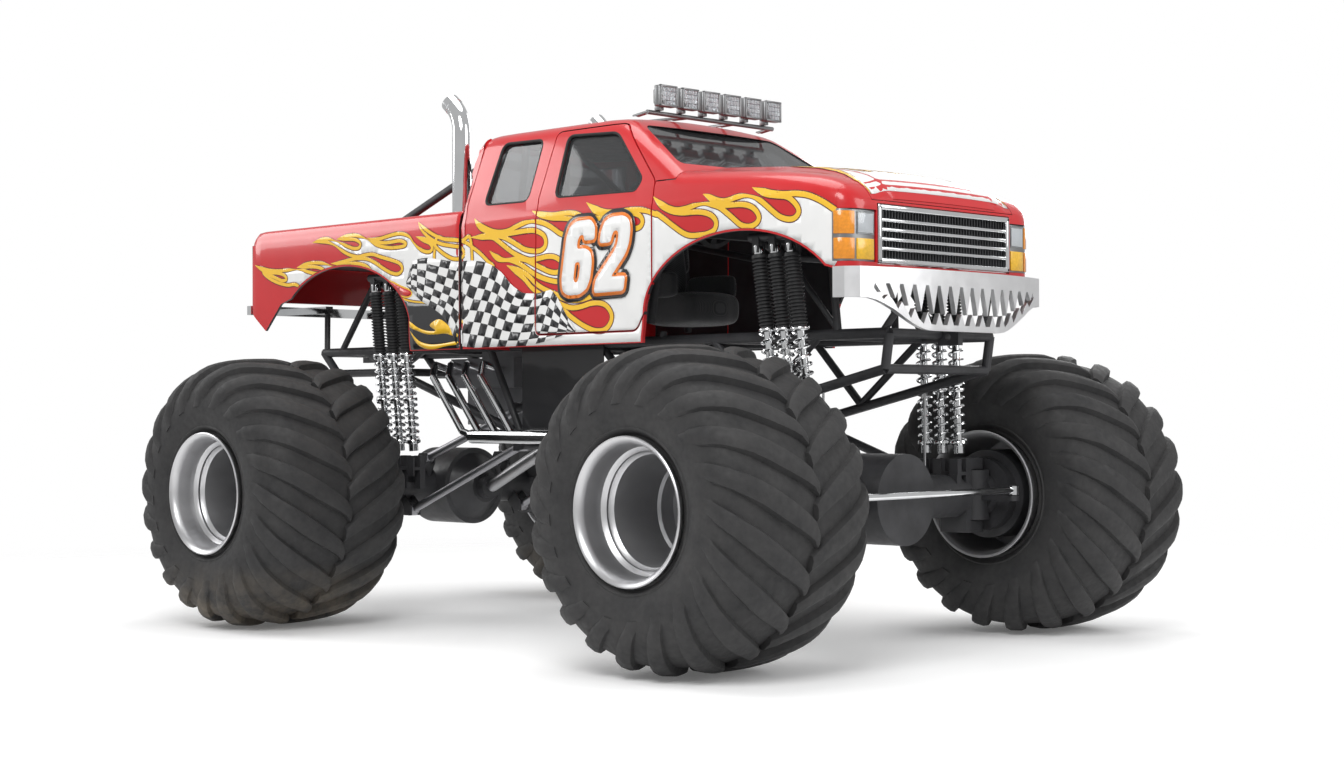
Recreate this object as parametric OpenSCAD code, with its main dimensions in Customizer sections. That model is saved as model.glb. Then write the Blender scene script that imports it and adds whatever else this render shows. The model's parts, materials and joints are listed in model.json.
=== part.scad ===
// Monster truck: pick-up body on a tube chassis with four steered 66 inch wheels.
// Millimetres. X points forward, Y to the left and Z up; the floor is z = 0.
// Pieces are drawn with x = 0 halfway between the axles, then moved by mid_x so that
// the origin is under the centre of the whole vehicle.

/* [Overall] */
// Distance between the two axles
wheelbase = 3700; // [3500:10:4500]
// Rear axle to the rear bumper's face
rear_overhang = 1198; // [1150:1:1350]
// Outside radius of a tyre, over the lugs
tyre_r = 838; // [780:1:900]
// Width of a tyre
tyre_w = 1070; // [900:1:1150]
// Width over the outside of the tyres
overall_w = 4040; // [3900:10:4300]

/* [Body shell] */
// Width of the body over its side panels
body_w = 1704; // [1600:1:1760]
// Bottom edge of the cab and bed sides
sill_z = 1721; // [1700:1:1760]
// Height of the waist line, where the windows begin to lean in
belt_z = 2600; // [2560:1:2640]
// Height of the roof at its centre
roof_z = 3088; // [3050:1:3150]
// Thickness of the doors, walls and roof
panel_t = 50; // [40:1:60]
// Thickness of the outer skin of a door, which laps its frame
skin_t = 14; // [10:1:20]
// Gap between a moving panel and its frame
panel_gap = 8; // [6:0.5:12]
// Gap between the cab and the bed
cab_bed_gap = 20; // [10:1:30]
// Thickness of the windows
glass_t = 6; // [4:0.5:8]
// Height of the bed's load floor
bed_floor_z = 2345; // [2320:1:2400]
// Thickness of the cab's and the bed's floors
floor_t = 40; // [20:1:50]

/* [Running gear] */
// Centre of the steering pivots from the middle of the truck
kingpin_y = 850; // [820:1:880]
// Radius of the trunnion pins that the knuckles turn on
trunnion_r = 35; // [25:1:45]
// Radius of the spindle that carries a wheel
spindle_r = 120; // [90:1:140]
// Length of a steering arm, from the pivot to the tie rod's eye
arm_len = 300; // [285:1:320]
// Radius of the ball stud at the end of a steering arm
stud_r = 14; // [10:1:18]
// Radius of a tie rod
tie_rod_r = 20; // [15:1:25]
// Radius of the axle tubes
axle_tube_r = 125; // [100:1:135]
// Radius of the axle's centre casing
diff_r = 255; // [220:1:270]
// Outside radius of a rim's lip
rim_r = 377.5; // [360:0.5:400]
// Radius of the rim's deep inner barrel
dish_r = 276; // [262:1:300]

/* [Chassis] */
// Radius of the main chassis tubes
tube_r = 30; // [24:1:36]
// Half the distance between the two side trusses
truss_y = 450; // [420:1:470]
// Height of the chassis' top rails
rail_z = 1745; // [1735:1:1750]
// Height of the chassis' lowest tubes
belly_z = 1190; // [1150:1:1250]
// Height of the front shock absorbers' top mounts
front_tower_z = 2215; // [2190:1:2240]
// Height of the rear shock absorbers' top mounts
rear_tower_z = 2150; // [2130:1:2200]
// Radius of a shock absorber's spring
spring_r = 50; // [40:1:54]

/* [Front end] */
// Number of roof lamps
roof_lamp_count = 6; // [4:1:6]
// Number of upper teeth in the front bumper
tooth_count = 15; // [9:2:19]

/* [Hidden] */

mid_x = (rear_overhang - tyre_r) / 2;   // half the difference of the two overhangs
front_x = wheelbase / 2;                // front axle
rear_x = -wheelbase / 2;                // rear axle
hub_z = tyre_r;                         // axle height
half_w = body_w / 2;
lean = 0.38;                            // how far the windows lean in for each unit of height
run_gap = 0.06;                         // radial clearance of a shaft in its bore
loose_gap = 2;                          // clearance round the tie rod's free eye
seat_gap = 0.3;                         // gap between curved faces that seat on each other
clear = 5;                              // least gap between pieces that move past each other
round_fn = 48;
pipe_fn = 12;                           // tubes of the frame are twelve-sided
far = 6000;                             // longer than the truck, for cuts that pass through it

// Body outline, from the axles and the named heights
cab_back = rear_x + 1093;               // back wall of the cab
bed_front = cab_back - cab_bed_gap;
bed_back = rear_x - 1150;               // outside of the tailgate
bed_top = belt_z - 20;
nose_x = front_x + 470;                 // front of the grille
cowl_x = front_x - 794;                 // back edge of the bonnet
cowl_z = belt_z + 105;
screen_top = [front_x - 1320, roof_z - 43];
door_front = front_x - 945;
door_back = door_front - 975;
door_gap_x = door_front - panel_gap / 4;  // middle of the gap that the door hinges stand in
door_pin_y = half_w - 5;
cowl_gap = 10;                          // gap between the cowl and the bonnet's back edge
bonnet_pin = [cowl_x + cowl_gap / 2, cowl_z - 6];
gate_t = 50;
gate_pin = [bed_back + 25, 25];         // x, and height above the tailgate's lower edge
gate_pin_r = 8;
nose_low_z = sill_z + 352;              // lower edge of the nose
side_cut_y = truss_y - tube_r - 6;            // plane that parts the side frames from the cross tubes
cab_floor_z = rail_z + tube_r + 65;     // top of the cab's floor
gate_low_z = sill_z + 377;              // lower edge of the tailgate
gate_half = half_w - 100;
bonnet_half = 636;
grille_half = 586;
grille_z = [sill_z + 385, sill_z + 713];
lamp_y = [grille_half + 14, half_w - 24];

// ---- helpers ----
function unit(v) = v / norm(v);
function left(v) = [-v[1], v[0]];
// Moves each edge of an anticlockwise outline inwards by d, keeping the corners sharp
function inset(p, d) = let (n = len(p)) [for (i = [0 : n - 1])
    let (u = left(unit(p[i] - p[(i + n - 1) % n])), v = left(unit(p[(i + 1) % n] - p[i])))
    p[i] + d * (u + v) / (1 + u * v)];
function arc(c, r, a, b, n) = [for (i = [0 : n]) let (t = a + (b - a) * i / n)
    [c[0] + r * cos(t), c[1] + r * sin(t)]];
function ellipse(c, rx, rz, a, b, n) = [for (i = [0 : n]) let (t = a + (b - a) * i / n)
    [c[0] + rx * cos(t), c[1] + rz * sin(t)]];
function mirrored(p) = concat(p, [for (i = [len(p) - 1 : -1 : 0]) [-p[i][0], p[i][1]]]);

module place() { translate([mid_x, 0, 0]) children(); }
module both_sides() { children(); mirror([0, 1, 0]) children(); }
module side(s) { if (s > 0) children(); else mirror([0, 1, 0]) children(); }
// Extrudes an outline drawn in x and z from y0 to y1
module slab_xz(y0, y1) { translate([0, y1, 0]) rotate([90, 0, 0]) linear_extrude(y1 - y0) children(); }
// Extrudes an outline drawn in y and z from x0 to x1
module slab_yz(x0, x1) { translate([x0, 0, 0]) rotate([90, 0, 90]) linear_extrude(x1 - x0) children(); }
module block(lo, hi) { translate(lo) cube(hi - lo); }
// A round bar from a to b
module bar(a, b, r, sides = pipe_fn) {
    d = b - a;
    translate(a) rotate([0, acos(d[2] / norm(d)), atan2(d[1], d[0])])
        cylinder(r = r, h = norm(d), $fn = sides);
}
// A run of bars through a list of points; every second one is step thinner, as a slip joint
module run(points, r, step = 1.5) {
    for (i = [0 : len(points) - 2]) bar(points[i], points[i + 1], r - step * (i % 2));
}
module axis_y(y0, y1, r, r2 = undef) {
    translate([0, y0, 0]) rotate([-90, 0, 0])
        cylinder(r1 = r, r2 = is_undef(r2) ? r : r2, h = y1 - y0, $fn = round_fn);
}
module axis_x(x0, x1, r, r2 = undef) {
    translate([x0, 0, 0]) rotate([0, 90, 0])
        cylinder(r1 = r, r2 = is_undef(r2) ? r : r2, h = x1 - x0, $fn = round_fn);
}
module axis_z(z0, z1, r) { translate([0, 0, z0]) cylinder(r = r, h = z1 - z0, $fn = round_fn); }

// ---- body shell ----
cab_profile = [[cab_back, sill_z], [nose_x - 24, sill_z], [nose_x - 24, nose_low_z],
    [nose_x - 4, nose_low_z + 40], [nose_x, belt_z - 140], [nose_x - 30, belt_z - 72],
    [nose_x - 170, belt_z - 8], [front_x - 150, belt_z + 65], [cowl_x, cowl_z], screen_top,
    [screen_top[0] - 90, roof_z - 10], [cab_back + 197, roof_z - 4], [cab_back + 67, roof_z - 36],
    [cab_back - 18, belt_z + 220]];
bed_profile = [[bed_back + 170, sill_z + 172], [bed_front, sill_z], [bed_front, bed_top],
    [bed_back + 70, bed_top], [bed_back + 14, bed_top - 70], [bed_back, bed_top - 160],
    [bed_back, sill_z + 309]];
// Half of the cross section, from the bottom up, on the left side
section_half = [[half_w - 12, sill_z - 200], [half_w, sill_z + 160], [half_w, belt_z - 110],
    [half_w - 12, belt_z - 70], [half_w - 22, belt_z],
    [half_w - 22 - lean * (roof_z - 72 - belt_z), roof_z - 72], [half_w - 212, roof_z - 38],
    [half_w - 372, roof_z - 10], [150, roof_z]];
plan_half = [[bed_back - 10, 150], [bed_back, half_w - 30], [bed_back + 20, half_w],
    [nose_x - 240, half_w], [nose_x - 140, half_w - 6], [nose_x - 80, half_w - 20],
    [nose_x - 35, half_w - 92], [nose_x - 6, grille_half], [nose_x + 2, 150]];

module form(profile, d) {
    half = concat(section_half);
    plan = concat([for (i = [len(plan_half) - 1 : -1 : 0]) plan_half[i]],
                  [for (p = plan_half) [p[0], -p[1]]]);
    intersection() {
        slab_xz(-half_w - 10, half_w + 10) polygon(inset(profile, d));
        slab_yz(-far / 2, far / 2) polygon(inset(mirrored(half), d));
        translate([0, 0, sill_z - 300]) linear_extrude(roof_z) polygon(inset(plan, d));
    }
}

// Wheel arches: a flat-topped curve from the sill to the nose or the tail
module arch_cut_front() {
    slab_xz(-half_w - 50, half_w + 50) polygon(concat(
        [[nose_x + 100, sill_z - 50], [nose_x + 100, nose_low_z], [nose_x - 106, nose_low_z]],
        ellipse([front_x - 300, sill_z + 150], 710, 437, 30, 174, 14),
        [[front_x - 1019, sill_z + 71], [front_x - 1035, sill_z - 50]]));
}
module arch_cut_rear() {
    slab_xz(-half_w - 50, half_w + 50) polygon(concat(
        [[rear_x + 592, sill_z - 50], [rear_x + 581, sill_z + 44]],
        ellipse([rear_x - 110, sill_z + 130], 700, 440, 10, 145, 13),
        [[rear_x - 800, sill_z + 349], [rear_x - 980, sill_z + 172], [rear_x - 980, sill_z - 50]]));
}

module cab_walls(t = panel_t) {
    difference() {
        form(cab_profile, 0);
        intersection() {
            form(cab_profile, t);
            block([-far, -far, cab_floor_z], [far, far, far]);
        }
        block([-far, t - half_w, sill_z - 400], [far, half_w - t, cab_floor_z - floor_t]);
        arch_cut_front();
    }
}

door_outline = [[door_back, sill_z + 69], [door_front - 125, sill_z + 69], [door_front, sill_z + 269],
    [door_front, belt_z + 32], [screen_top[0] - 18, roof_z - 72], [door_back + 10, roof_z - 72]];
door_window = [[door_back + 146, belt_z - 6], [door_front - 142, belt_z - 18],
    [door_front - 114, belt_z + 58], [screen_top[0] - 60, roof_z - 128],
    [door_back + 112, roof_z - 106]];
quarter_window = [[cab_back + 195, belt_z - 7], [door_back - 87, belt_z - 11],
    [door_back - 98, roof_z - 112], [cab_back + 214, roof_z - 106]];
// Windscreen and rear window openings, half of each seen from the front
screen_half = [[700, cowl_z + 32], [565, roof_z - 84]];
rear_half = [[600, belt_z + 70], [520, roof_z - 124]];

// The side wall inside an outline; the cab's floor reaches to y = floor_y below it
module door_slab(outline, floor_y = half_w - panel_t) {
    difference() {
        slab_xz(360, half_w + 30) polygon(outline);
        block([-far, 0, sill_z - 200], [far, floor_y, cab_floor_z + 0.01]);
    }
}
// One hinge on a vertical axis: barrel on the moving side, pin and end knuckles on the fixed side
hinge_r = 4;
hinge_pin_r = 2.2;
module hinge_barrel(leaf) {
    difference() {
        union() { axis_z(-30, 30, hinge_r); block([min(0, leaf), -1.5, -30], [max(0, leaf), 1.5, 30]); }
        axis_z(-31, 31, hinge_pin_r + run_gap);
    }
}
module hinge_pin(leaf) {
    axis_z(-44, 44, hinge_pin_r);
    for (z = [-44, 30.5]) {
        axis_z(z, z + 13.5, hinge_r);
        block([min(0, leaf), -1.5, z], [max(0, leaf), 1.5, z + 13.5]);
    }
}
door_hinge_z = [sill_z + 430, belt_z - 130];
module at_door_hinges() { for (z = door_hinge_z) translate([door_gap_x, door_pin_y, z]) children(); }
// Bonnet hinges lie along y, with the moving side towards +x
module at_bonnet_hinges() {
    for (y = [-450, 450]) translate([bonnet_pin[0], y, bonnet_pin[1]]) rotate([-90, 0, 0]) children();
}
// Side of the body from the door's front gap to the nose, and the wing's top beside the bonnet
module fender_zone(x0, extra = 0) {
    block([x0, bonnet_half - extra, sill_z - 100], [nose_x - 90, half_w + 50, belt_z + 27 + extra]);
    block([cowl_x - extra, bonnet_half - extra, sill_z - 100], [nose_x - 90, half_w + 50, far]);
}

module cab_shell() {
    color("crimson") {
        difference() {
            cab_walls();
            block([cowl_x, -bonnet_half - 1, sill_z - 100], [far, bonnet_half + 1, far]);
            both_sides() {
                fender_zone(door_front - 1);
                door_slab(door_outline, half_w - panel_t - clear - 3);
                slab_xz(360, half_w + 30) polygon(quarter_window);
            }
            block([nose_x - 90, -far, 0], [far, far, far]);
            slab_yz(screen_top[0] - 60, cowl_x + 60) polygon(mirrored(screen_half));
            slab_yz(cab_back - 60, cab_back + 160) polygon(mirrored(rear_half));
        }
        firewall();
        at_bonnet_hinges() hinge_pin(-8);
    }
}
module firewall() {
    t = 30;
    x = cowl_x - 60;
    w = half_w - panel_t - 45;
    slab_xz(-w, w) polygon([[door_front - 125, cab_floor_z - floor_t],
        [door_front - 125 + t, cab_floor_z - floor_t], [x, sill_z + 560], [x, belt_z - 60],
        [x - t, belt_z - 60], [x - t, sill_z + 575], [door_front - 125, cab_floor_z + 30]]);
    slab_xz(10 - bonnet_half, bonnet_half - 10)
        polygon([[x - t, belt_z - 70], [x, belt_z - 70], [x, cowl_z], [x - t, cowl_z]]);
}
module bonnet() {
    color("white") {
        intersection() {
            cab_walls();
            block([cowl_x + cowl_gap, panel_gap - bonnet_half, belt_z - 150],
                  [nose_x - 2, bonnet_half - panel_gap, far]);
        }
        at_bonnet_hinges() hinge_barrel(8);
    }
}
module fender(s) {
    color("white") side(s) {
        difference() {
            intersection() {
                cab_walls();
                fender_zone(door_front + panel_gap / 2, -seat_gap);
            }
            door_slab(door_outline);
        }
        at_door_hinges() hinge_pin(9);
    }
}
module nose_panel() {
    color("crimson") difference() {
        intersection() {
            cab_walls();
            block([nose_x - 90 + seat_gap, -far, 0], [far, far, belt_z - 160]);
        }
        block([nose_x - 80, -grille_half, grille_z[0]], [far, grille_half, grille_z[1] - 15]);
        both_sides() block([nose_x - 200, lamp_y[0], grille_z[0] + 8],
                           [far, lamp_y[1], grille_z[1] - 55]);
    }
}
module door(s) {
    color("crimson") side(s) {
        difference() {
            union() {
                intersection() {
                    cab_walls(skin_t);
                    door_slab(inset(door_outline, panel_gap));
                }
                intersection() {
                    cab_walls();
                    door_slab(inset(door_outline, panel_gap + 14));
                }
            }
            door_slab(door_window);
        }
        at_door_hinges() hinge_barrel(-9);
    }
}
module pane(d = 22) {
    difference() {
        form(cab_profile, d);
        form(cab_profile, d + glass_t);
    }
}
module door_glass(s) {
    color("dimgray", 0.5) side(s) intersection() { pane(); door_slab(door_window); }
}
module quarter_windows() {
    color("dimgray", 0.5) both_sides() intersection() {
        pane();
        slab_xz(360, half_w + 30) polygon(quarter_window);
    }
}
module windscreen() {
    color("dimgray", 0.5) intersection() {
        pane();
        slab_yz(screen_top[0] - 60, cowl_x + 60) polygon(mirrored(screen_half));
    }
}
module rear_window() {
    color("dimgray", 0.5) intersection() {
        pane();
        slab_yz(cab_back - 60, cab_back + 160) polygon(mirrored(rear_half));
    }
}

// ---- bed ----
module bed() {
    color("crimson") difference() {
        form(bed_profile, 0);
        block([bed_back + gate_t + 10, 62 - half_w, bed_floor_z],
              [bed_front - panel_t, half_w - 62, far]);
        block([bed_back + gate_t + 10, panel_t - half_w, sill_z - 100],
              [bed_front - panel_t, half_w - panel_t, bed_floor_z - floor_t]);
        block([bed_back - 100, -gate_half, sill_z - 100], [bed_back + gate_t + 11, gate_half, far]);
        translate([gate_pin[0], 0, gate_low_z + gate_pin[1]])
            axis_y(-gate_half - 18, gate_half + 18, gate_pin_r + run_gap);
        block([bed_front - panel_t - 1, -truss_y - 150, sill_z - 100], [far, truss_y + 150, rail_z + 60]);
        arch_cut_rear();
        both_sides() tail_lamp_shape(0);
    }
}
module tailgate() {
    color("crimson") {
        block([bed_back + 2, panel_gap - gate_half, gate_low_z],
              [bed_back + gate_t, gate_half - panel_gap, bed_top - 12]);
        translate([gate_pin[0], 0, gate_low_z + gate_pin[1]])
            axis_y(-gate_half - 12, gate_half + 12, gate_pin_r);
    }
}
module tail_lamp_shape(gap) {
    block([bed_back - 20, gate_half + 14 + gap, gate_low_z + 45 + gap],
          [bed_back + 30, half_w - 14 - gap, gate_low_z + 240 - gap]);
}
module tail_lamps() {
    color("firebrick") both_sides() intersection() {
        tail_lamp_shape(0.2);
        form(bed_profile, 0);
    }
}

// ---- front end ----
module grille() {
    bar_w = 16;
    gap_z = (grille_z[1] - 30 - grille_z[0]) / 5;
    color("silver") {
        difference() {
            block([nose_x - 60, seat_gap - grille_half, grille_z[0] + seat_gap],
                  [nose_x + 6, grille_half - seat_gap, grille_z[1] - 15 - seat_gap]);
            block([nose_x - 50, 26 - grille_half, grille_z[0] + 26],
                  [nose_x + 50, grille_half - 26, grille_z[1] - 41]);
        }
        for (i = [1 : 4])
            block([nose_x - 55, 10 - grille_half, grille_z[0] + 8 + i * gap_z - bar_w / 2],
                  [nose_x - 2, grille_half - 10, grille_z[0] + 8 + i * gap_z + bar_w / 2]);
    }
}
module headlamps() {
    color("silver") both_sides() intersection() {
        block([nose_x - 150, lamp_y[0] + 0.3, grille_z[0] + 8.3],
              [nose_x + 10, lamp_y[1] - 0.3, grille_z[1] - 55.3]);
        form(cab_profile, 4);
        union() {
            block([nose_x - 88, 0, 0], [nose_x - 40, lamp_y[1] - 70, far]);
            block([nose_x - 88, 0, 0], [far, far, far]);
        }
    }
}
bumper_top = nose_low_z + 7;
bumper_low = sill_z + 34;
bumper_t = 30;
function bumper_line(d) = concat([[nose_x - 80, half_w + 18 - d]],
    [[nose_x - 10, half_w + 6 - d], [nose_x + 50 - d / 2, half_w - 50 - d],
     [nose_x + 100 - d, grille_half], [nose_x + 130 - d, 300], [nose_x + 136 - d, 0]]);
function smooth(t) = let (u = min(1, max(0, t))) u * u * (3 - 2 * u);
// The bumper is deepest in the middle and its lower edge rises towards the ends
function low_edge(y) = bumper_low + (bumper_top - 160 - bumper_low) * smooth((abs(y) - 300) / 480);
function mouth_low(y) = low_edge(y) + 32;
module bumper_mouth() {
    pitch = 1440 / tooth_count;
    top = bumper_top - 85;
    upper = [for (i = [0 : tooth_count - 1]) let (y = -720 + (i + 0.5) * pitch)
        each [[y - 0.38 * pitch, top], [y, top - 0.72 * (top - mouth_low(y))], [y + 0.38 * pitch, top]]];
    lower = [for (i = [tooth_count - 1 : -1 : 1]) let (y = -720 + i * pitch)
        each [[y + 0.3 * pitch, mouth_low(y)], [y, mouth_low(y) + 0.3 * (top - mouth_low(y))],
              [y - 0.3 * pitch, mouth_low(y)]]];
    slab_yz(nose_x - 60, nose_x + 300) polygon(concat(upper, [[720, top - 30]], lower, [[-720, top - 30]]));
}
module front_bumper() {
    outline = concat(bumper_line(0), [for (i = [4 : -1 : 0]) let (p = bumper_line(0)[i]) [p[0], -p[1]]]);
    inner = concat(bumper_line(bumper_t), [for (i = [4 : -1 : 0]) let (p = bumper_line(bumper_t)[i]) [p[0], -p[1]]]);
    color("silver") {
        difference() {
            translate([0, 0, bumper_low - 10]) linear_extrude(bumper_top - bumper_low + 10)
                polygon(concat(outline, [for (i = [len(inner) - 1 : -1 : 0]) inner[i]]));
            slab_yz(0, far) polygon(concat(
                [[-half_w - 50, bumper_low - 50], [half_w + 50, bumper_low - 50]],
                [for (y = [half_w + 50 : -50 : -half_w - 50]) [y, low_edge(y)]],
                [[-half_w - 50, low_edge(half_w)]]));
            bumper_mouth();
        }
        both_sides() block([nose_x - 20, 300, bumper_top - 60], [nose_x + 110, 360, bumper_top - 20]);
    }
}
module rear_bumper() {
    color("silver") {
        block([rear_x - rear_overhang, -half_w, sill_z + 289], [bed_back - 2, half_w, gate_low_z - 26]);
        both_sides() block([bed_back - 10, 380, sill_z + 299], [bed_back + 300, 440, sill_z + 349]);
    }
}
lamp_w = 150;
lamp_h = 125;
bar_x = screen_top[0] + 40;
bar_z = roof_z - 6;
lamp_pitch = (2 * 535 - lamp_w) / (roof_lamp_count - 1);
module light_bar() {
    r = 14;
    color("gray") difference() {
        union() {
        bar([bar_x, -550, bar_z], [bar_x, 550, bar_z], r);
        both_sides() {
            run([[bar_x, 540, bar_z], [bar_x - 120, 540, roof_z - 22]], 12);
            run([[bar_x, 200, bar_z], [bar_x - 300, 230, roof_z - 4]], 12);
        }
        }
        form(cab_profile, 0);
    }
}
module roof_lamps() {
    color("gray") for (i = [0 : roof_lamp_count - 1])
        let (y = -535 + lamp_w / 2 + i * lamp_pitch) {
            block([bar_x + 5, y - lamp_w / 2 + 4, bar_z + 30], [bar_x + 95, y + lamp_w / 2 - 4, bar_z + 30 + lamp_h]);
            block([bar_x - 12, y - 20, bar_z + 14.3], [bar_x + 35, y + 20, bar_z + 40]);
        }
}

// ---- chassis ----
belly_front = [front_x + 400, rail_z - 190];
belly_rear = [rear_x - 50, rail_z - 145];
// Height of the sloping lower tube that ends at p, at a given x
function chord_z(p, x) = belly_z + (p[1] - belly_z) * (abs(x) - 650) / (abs(p[0]) - 650);
module truss(y) {
    // Outline of the truss in x and z, with the posts and braces between its top and belly
    top = [rear_x - 850, rail_z];
    nose = [front_x + 430, rail_z];
    low = [for (x = [-650, 650]) [x, belly_z]];
    run([[top[0], y, top[1]], [nose[0], y, nose[1]]], tube_r);
    run([[top[0], y, top[1]], [rear_x - 700, y, rail_z - 145], [belly_rear[0], y, belly_rear[1]],
         [low[0][0], y, belly_z], [low[1][0], y, belly_z], [belly_front[0], y, belly_front[1]],
         [nose[0], y, nose[1]]], tube_r - 2);
    // x at the belly, z at the belly, x at the top rail
    braces = [[rear_x - 50, rail_z - 145, rear_x - 400], [rear_x - 50, rail_z - 145, rear_x + 250],
              [-650, belly_z, -950], [-650, belly_z, -60], [650, belly_z, 60], [650, belly_z, 950],
              [front_x - 500, belly_z + 180, front_x - 850], [front_x - 500, belly_z + 180, front_x - 50]];
    for (i = [0 : len(braces) - 1]) let (b = braces[i])
        bar([b[0], y, b[1]], [b[2], y, rail_z], tube_r - 6 - 1.5 * (i % 2));
}
// Links: [y at the axle, height above the axle, reach, chassis x, chassis z, chassis y, stub x]
link_y = 330;
link_table = [[480, -150, 150, 720, belly_z - 70, 390, 650],
              [link_y, 190, 120, 812, belly_z + 170, 300, 742]];
module link_mounts() {
    // a low beam for the lower links, stubs for the upper ones, and a pair of ears at each link
    for (s = [-1, 1]) {
        r = link_table[0];
        bar([s * r[6], -truss_y, r[4]], [s * r[6], truss_y, r[4]], tube_r - 6);
        both_sides() {
            bar([s * r[6], truss_y, r[4]], [s * r[6], truss_y, belly_z], tube_r - 6);
            bar([s * link_table[1][6], truss_y, link_table[1][4]],
                [s * link_table[1][6], 250, link_table[1][4]], tube_r - 6);
            for (t = link_table) for (dy = [-42, 30])
                slab_xz(t[5] + dy, t[5] + dy + 12) polygon([[s * t[3] + s * 30, t[4] - 34],
                    [s * t[3] + s * 30, t[4] + 34], [s * t[6], t[4] + 20], [s * t[6], t[4] - 20]]);
        }
    }
}
tow_r = 20;
module tow_plate(x) {
    difference() {
        block([x - 70, -20, rail_z - 60], [x + 70, 20, rail_z + 28]);
        translate([x, 0, rail_z - 16]) axis_y(-30, 30, tow_r);
    }
}
module whole_frame() {
    cross_x = [rear_x - 850, rear_x + 250, -640, 60, 1000, front_x - 50];
    union() {
        both_sides() truss(truss_y);
        for (x = cross_x)
            bar([x, -truss_y, rail_z], [x, truss_y, rail_z], tube_r - 4);
        for (x = [-400, 400])
            bar([x, -truss_y, belly_z], [x, truss_y, belly_z], tube_r - 4);
        link_mounts();
        bar([belly_rear[0], -truss_y, belly_rear[1]], [belly_rear[0], truss_y, belly_rear[1]], tube_r - 4);
        bar([belly_front[0], -truss_y, belly_front[1]], [belly_front[0], truss_y, belly_front[1]], tube_r - 4);
        bar([front_x + 430, -truss_y, rail_z], [front_x + 430, truss_y, rail_z], tube_r - 4);
        tow_plate(front_x + 490);
        block([front_x + 425, -20, rail_z - 20], [front_x + 440, 20, rail_z + 20]);
        tow_plate(rear_x - 910);
        // struts that carry the bumpers and the body
        both_sides() {
            difference() {
                union() {
                    bar([front_x + 380, truss_y, rail_z], [nose_x + 50, 330, bumper_top - 54], tube_r - 10);
                    bar([rear_x - 820, truss_y, rail_z], [bed_back + 280, 410, sill_z + 305], tube_r - 10);
                }
                block([0, 0, bumper_top - 60], [far, far, far]);
                block([-far, 0, sill_z + 299], [0, far, far]);
            }
            bar([-500, truss_y, rail_z], [-500, truss_y, cab_floor_z - floor_t - seat_gap], tube_r - 8);
            bar([600, truss_y, rail_z], [600, truss_y, cab_floor_z - floor_t - seat_gap], tube_r - 8);
            // posts under the bed, one braced forwards and one upright
            difference() {
                union() {
                    bar([rear_x - 655, truss_y, rail_z], [rear_x - 170, truss_y, bed_floor_z], tube_r - 8);
                    bar([rear_x + 550, truss_y, rail_z], [rear_x + 550, truss_y, bed_floor_z], tube_r - 8);
                }
                block([-far, 0, bed_floor_z - floor_t - seat_gap], [far, far, far]);
            }
        }
    }
}

// Shock absorbers: [axle x, top x of the first, pitch along x, how far the foot leans forward, top z]
shock_table = [[front_x, front_x - 25, -118, 100, front_tower_z],
               [rear_x, rear_x + 65, 138, 30, rear_tower_z]];
shock_top_y = 715;
shock_foot_y = 640;
shock_foot_z = hub_z + 190;
function shock_top(t, i) = [t[1] + i * t[2], shock_top_y, t[4]];
function shock_foot(t, i) = [t[1] + i * t[2] + t[3], shock_foot_y, shock_foot_z];
module shock_set(t) {
    both_sides() for (i = [0 : 2]) {
        a = shock_top(t, i);
        b = shock_foot(t, i);
        d = unit(b - a);
        bar(a + 24 * d, b - 24 * d, 18, 24);
        bar(a + 50 * d, a + 430 * d, spring_r - 6, 24);
        bar(a + 430 * d, b - 70 * d, spring_r, 24);
        for (e = [a, b])
            translate(e) rotate([90, 0, 0]) translate([0, 0, -16]) cylinder(r = 27, h = 32, $fn = 24);
    }
}
module front_shocks() { color("silver") shock_set(shock_table[0]); }
module rear_shocks() { color("silver") shock_set(shock_table[1]); }

// Cross tubes and mounts between the two side frames
module chassis_frame() {
    color("#202022") intersection() {
        whole_frame();
        block([-far, -side_cut_y, 0], [far, side_cut_y, far]);
    }
}

// One side truss, with the ends of the tubes that meet it
module side_frame(s) {
    color("#202022") intersection() {
        whole_frame();
        side(s) block([-far, side_cut_y, 0], [far, far, far]);
    }
}

module shock_towers() {
    color("#202022") for (t = shock_table) {
        x0 = min(t[1], t[1] + 2 * t[2]) - 60;
        x1 = max(t[1], t[1] + 2 * t[2]) + 60;
        z = t[4];
        both_sides() {
            // rail that the eyes hang from, with a tab each side of every eye
            bar([x0, shock_top_y, z + 62], [x1, shock_top_y, z + 62], 24);
            for (i = [0 : 2]) let (p = shock_top(t, i))
                for (dy = [-28, 17])
                    block([p[0] - 22, p[1] + dy, z - 22], [p[0] + 22, p[1] + dy + 11, z + 60]);
            for (x = [x0 + 20, x1 - 20]) {
                bar([x, shock_top_y, z + 62], [x + sign(x) * 30, truss_y + 20, z - 30], 22);
                bar([x + sign(x) * 30, truss_y + 20, z - 30], [x + sign(x) * 60, truss_y, rail_z + tube_r - 6], 22);
            }
            bar([x0 + 20 + sign(x0) * 30, truss_y + 20, z - 30], [x1 - 20 + sign(x1) * 60, truss_y, rail_z + tube_r - 6], 16);
        }
        for (x = [x0 + 20, x1 - 20])
            bar([x + sign(x) * 30, -truss_y - 20, z - 30], [x + sign(x) * 30, truss_y + 20, z - 30], 22);
    }
}

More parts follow.
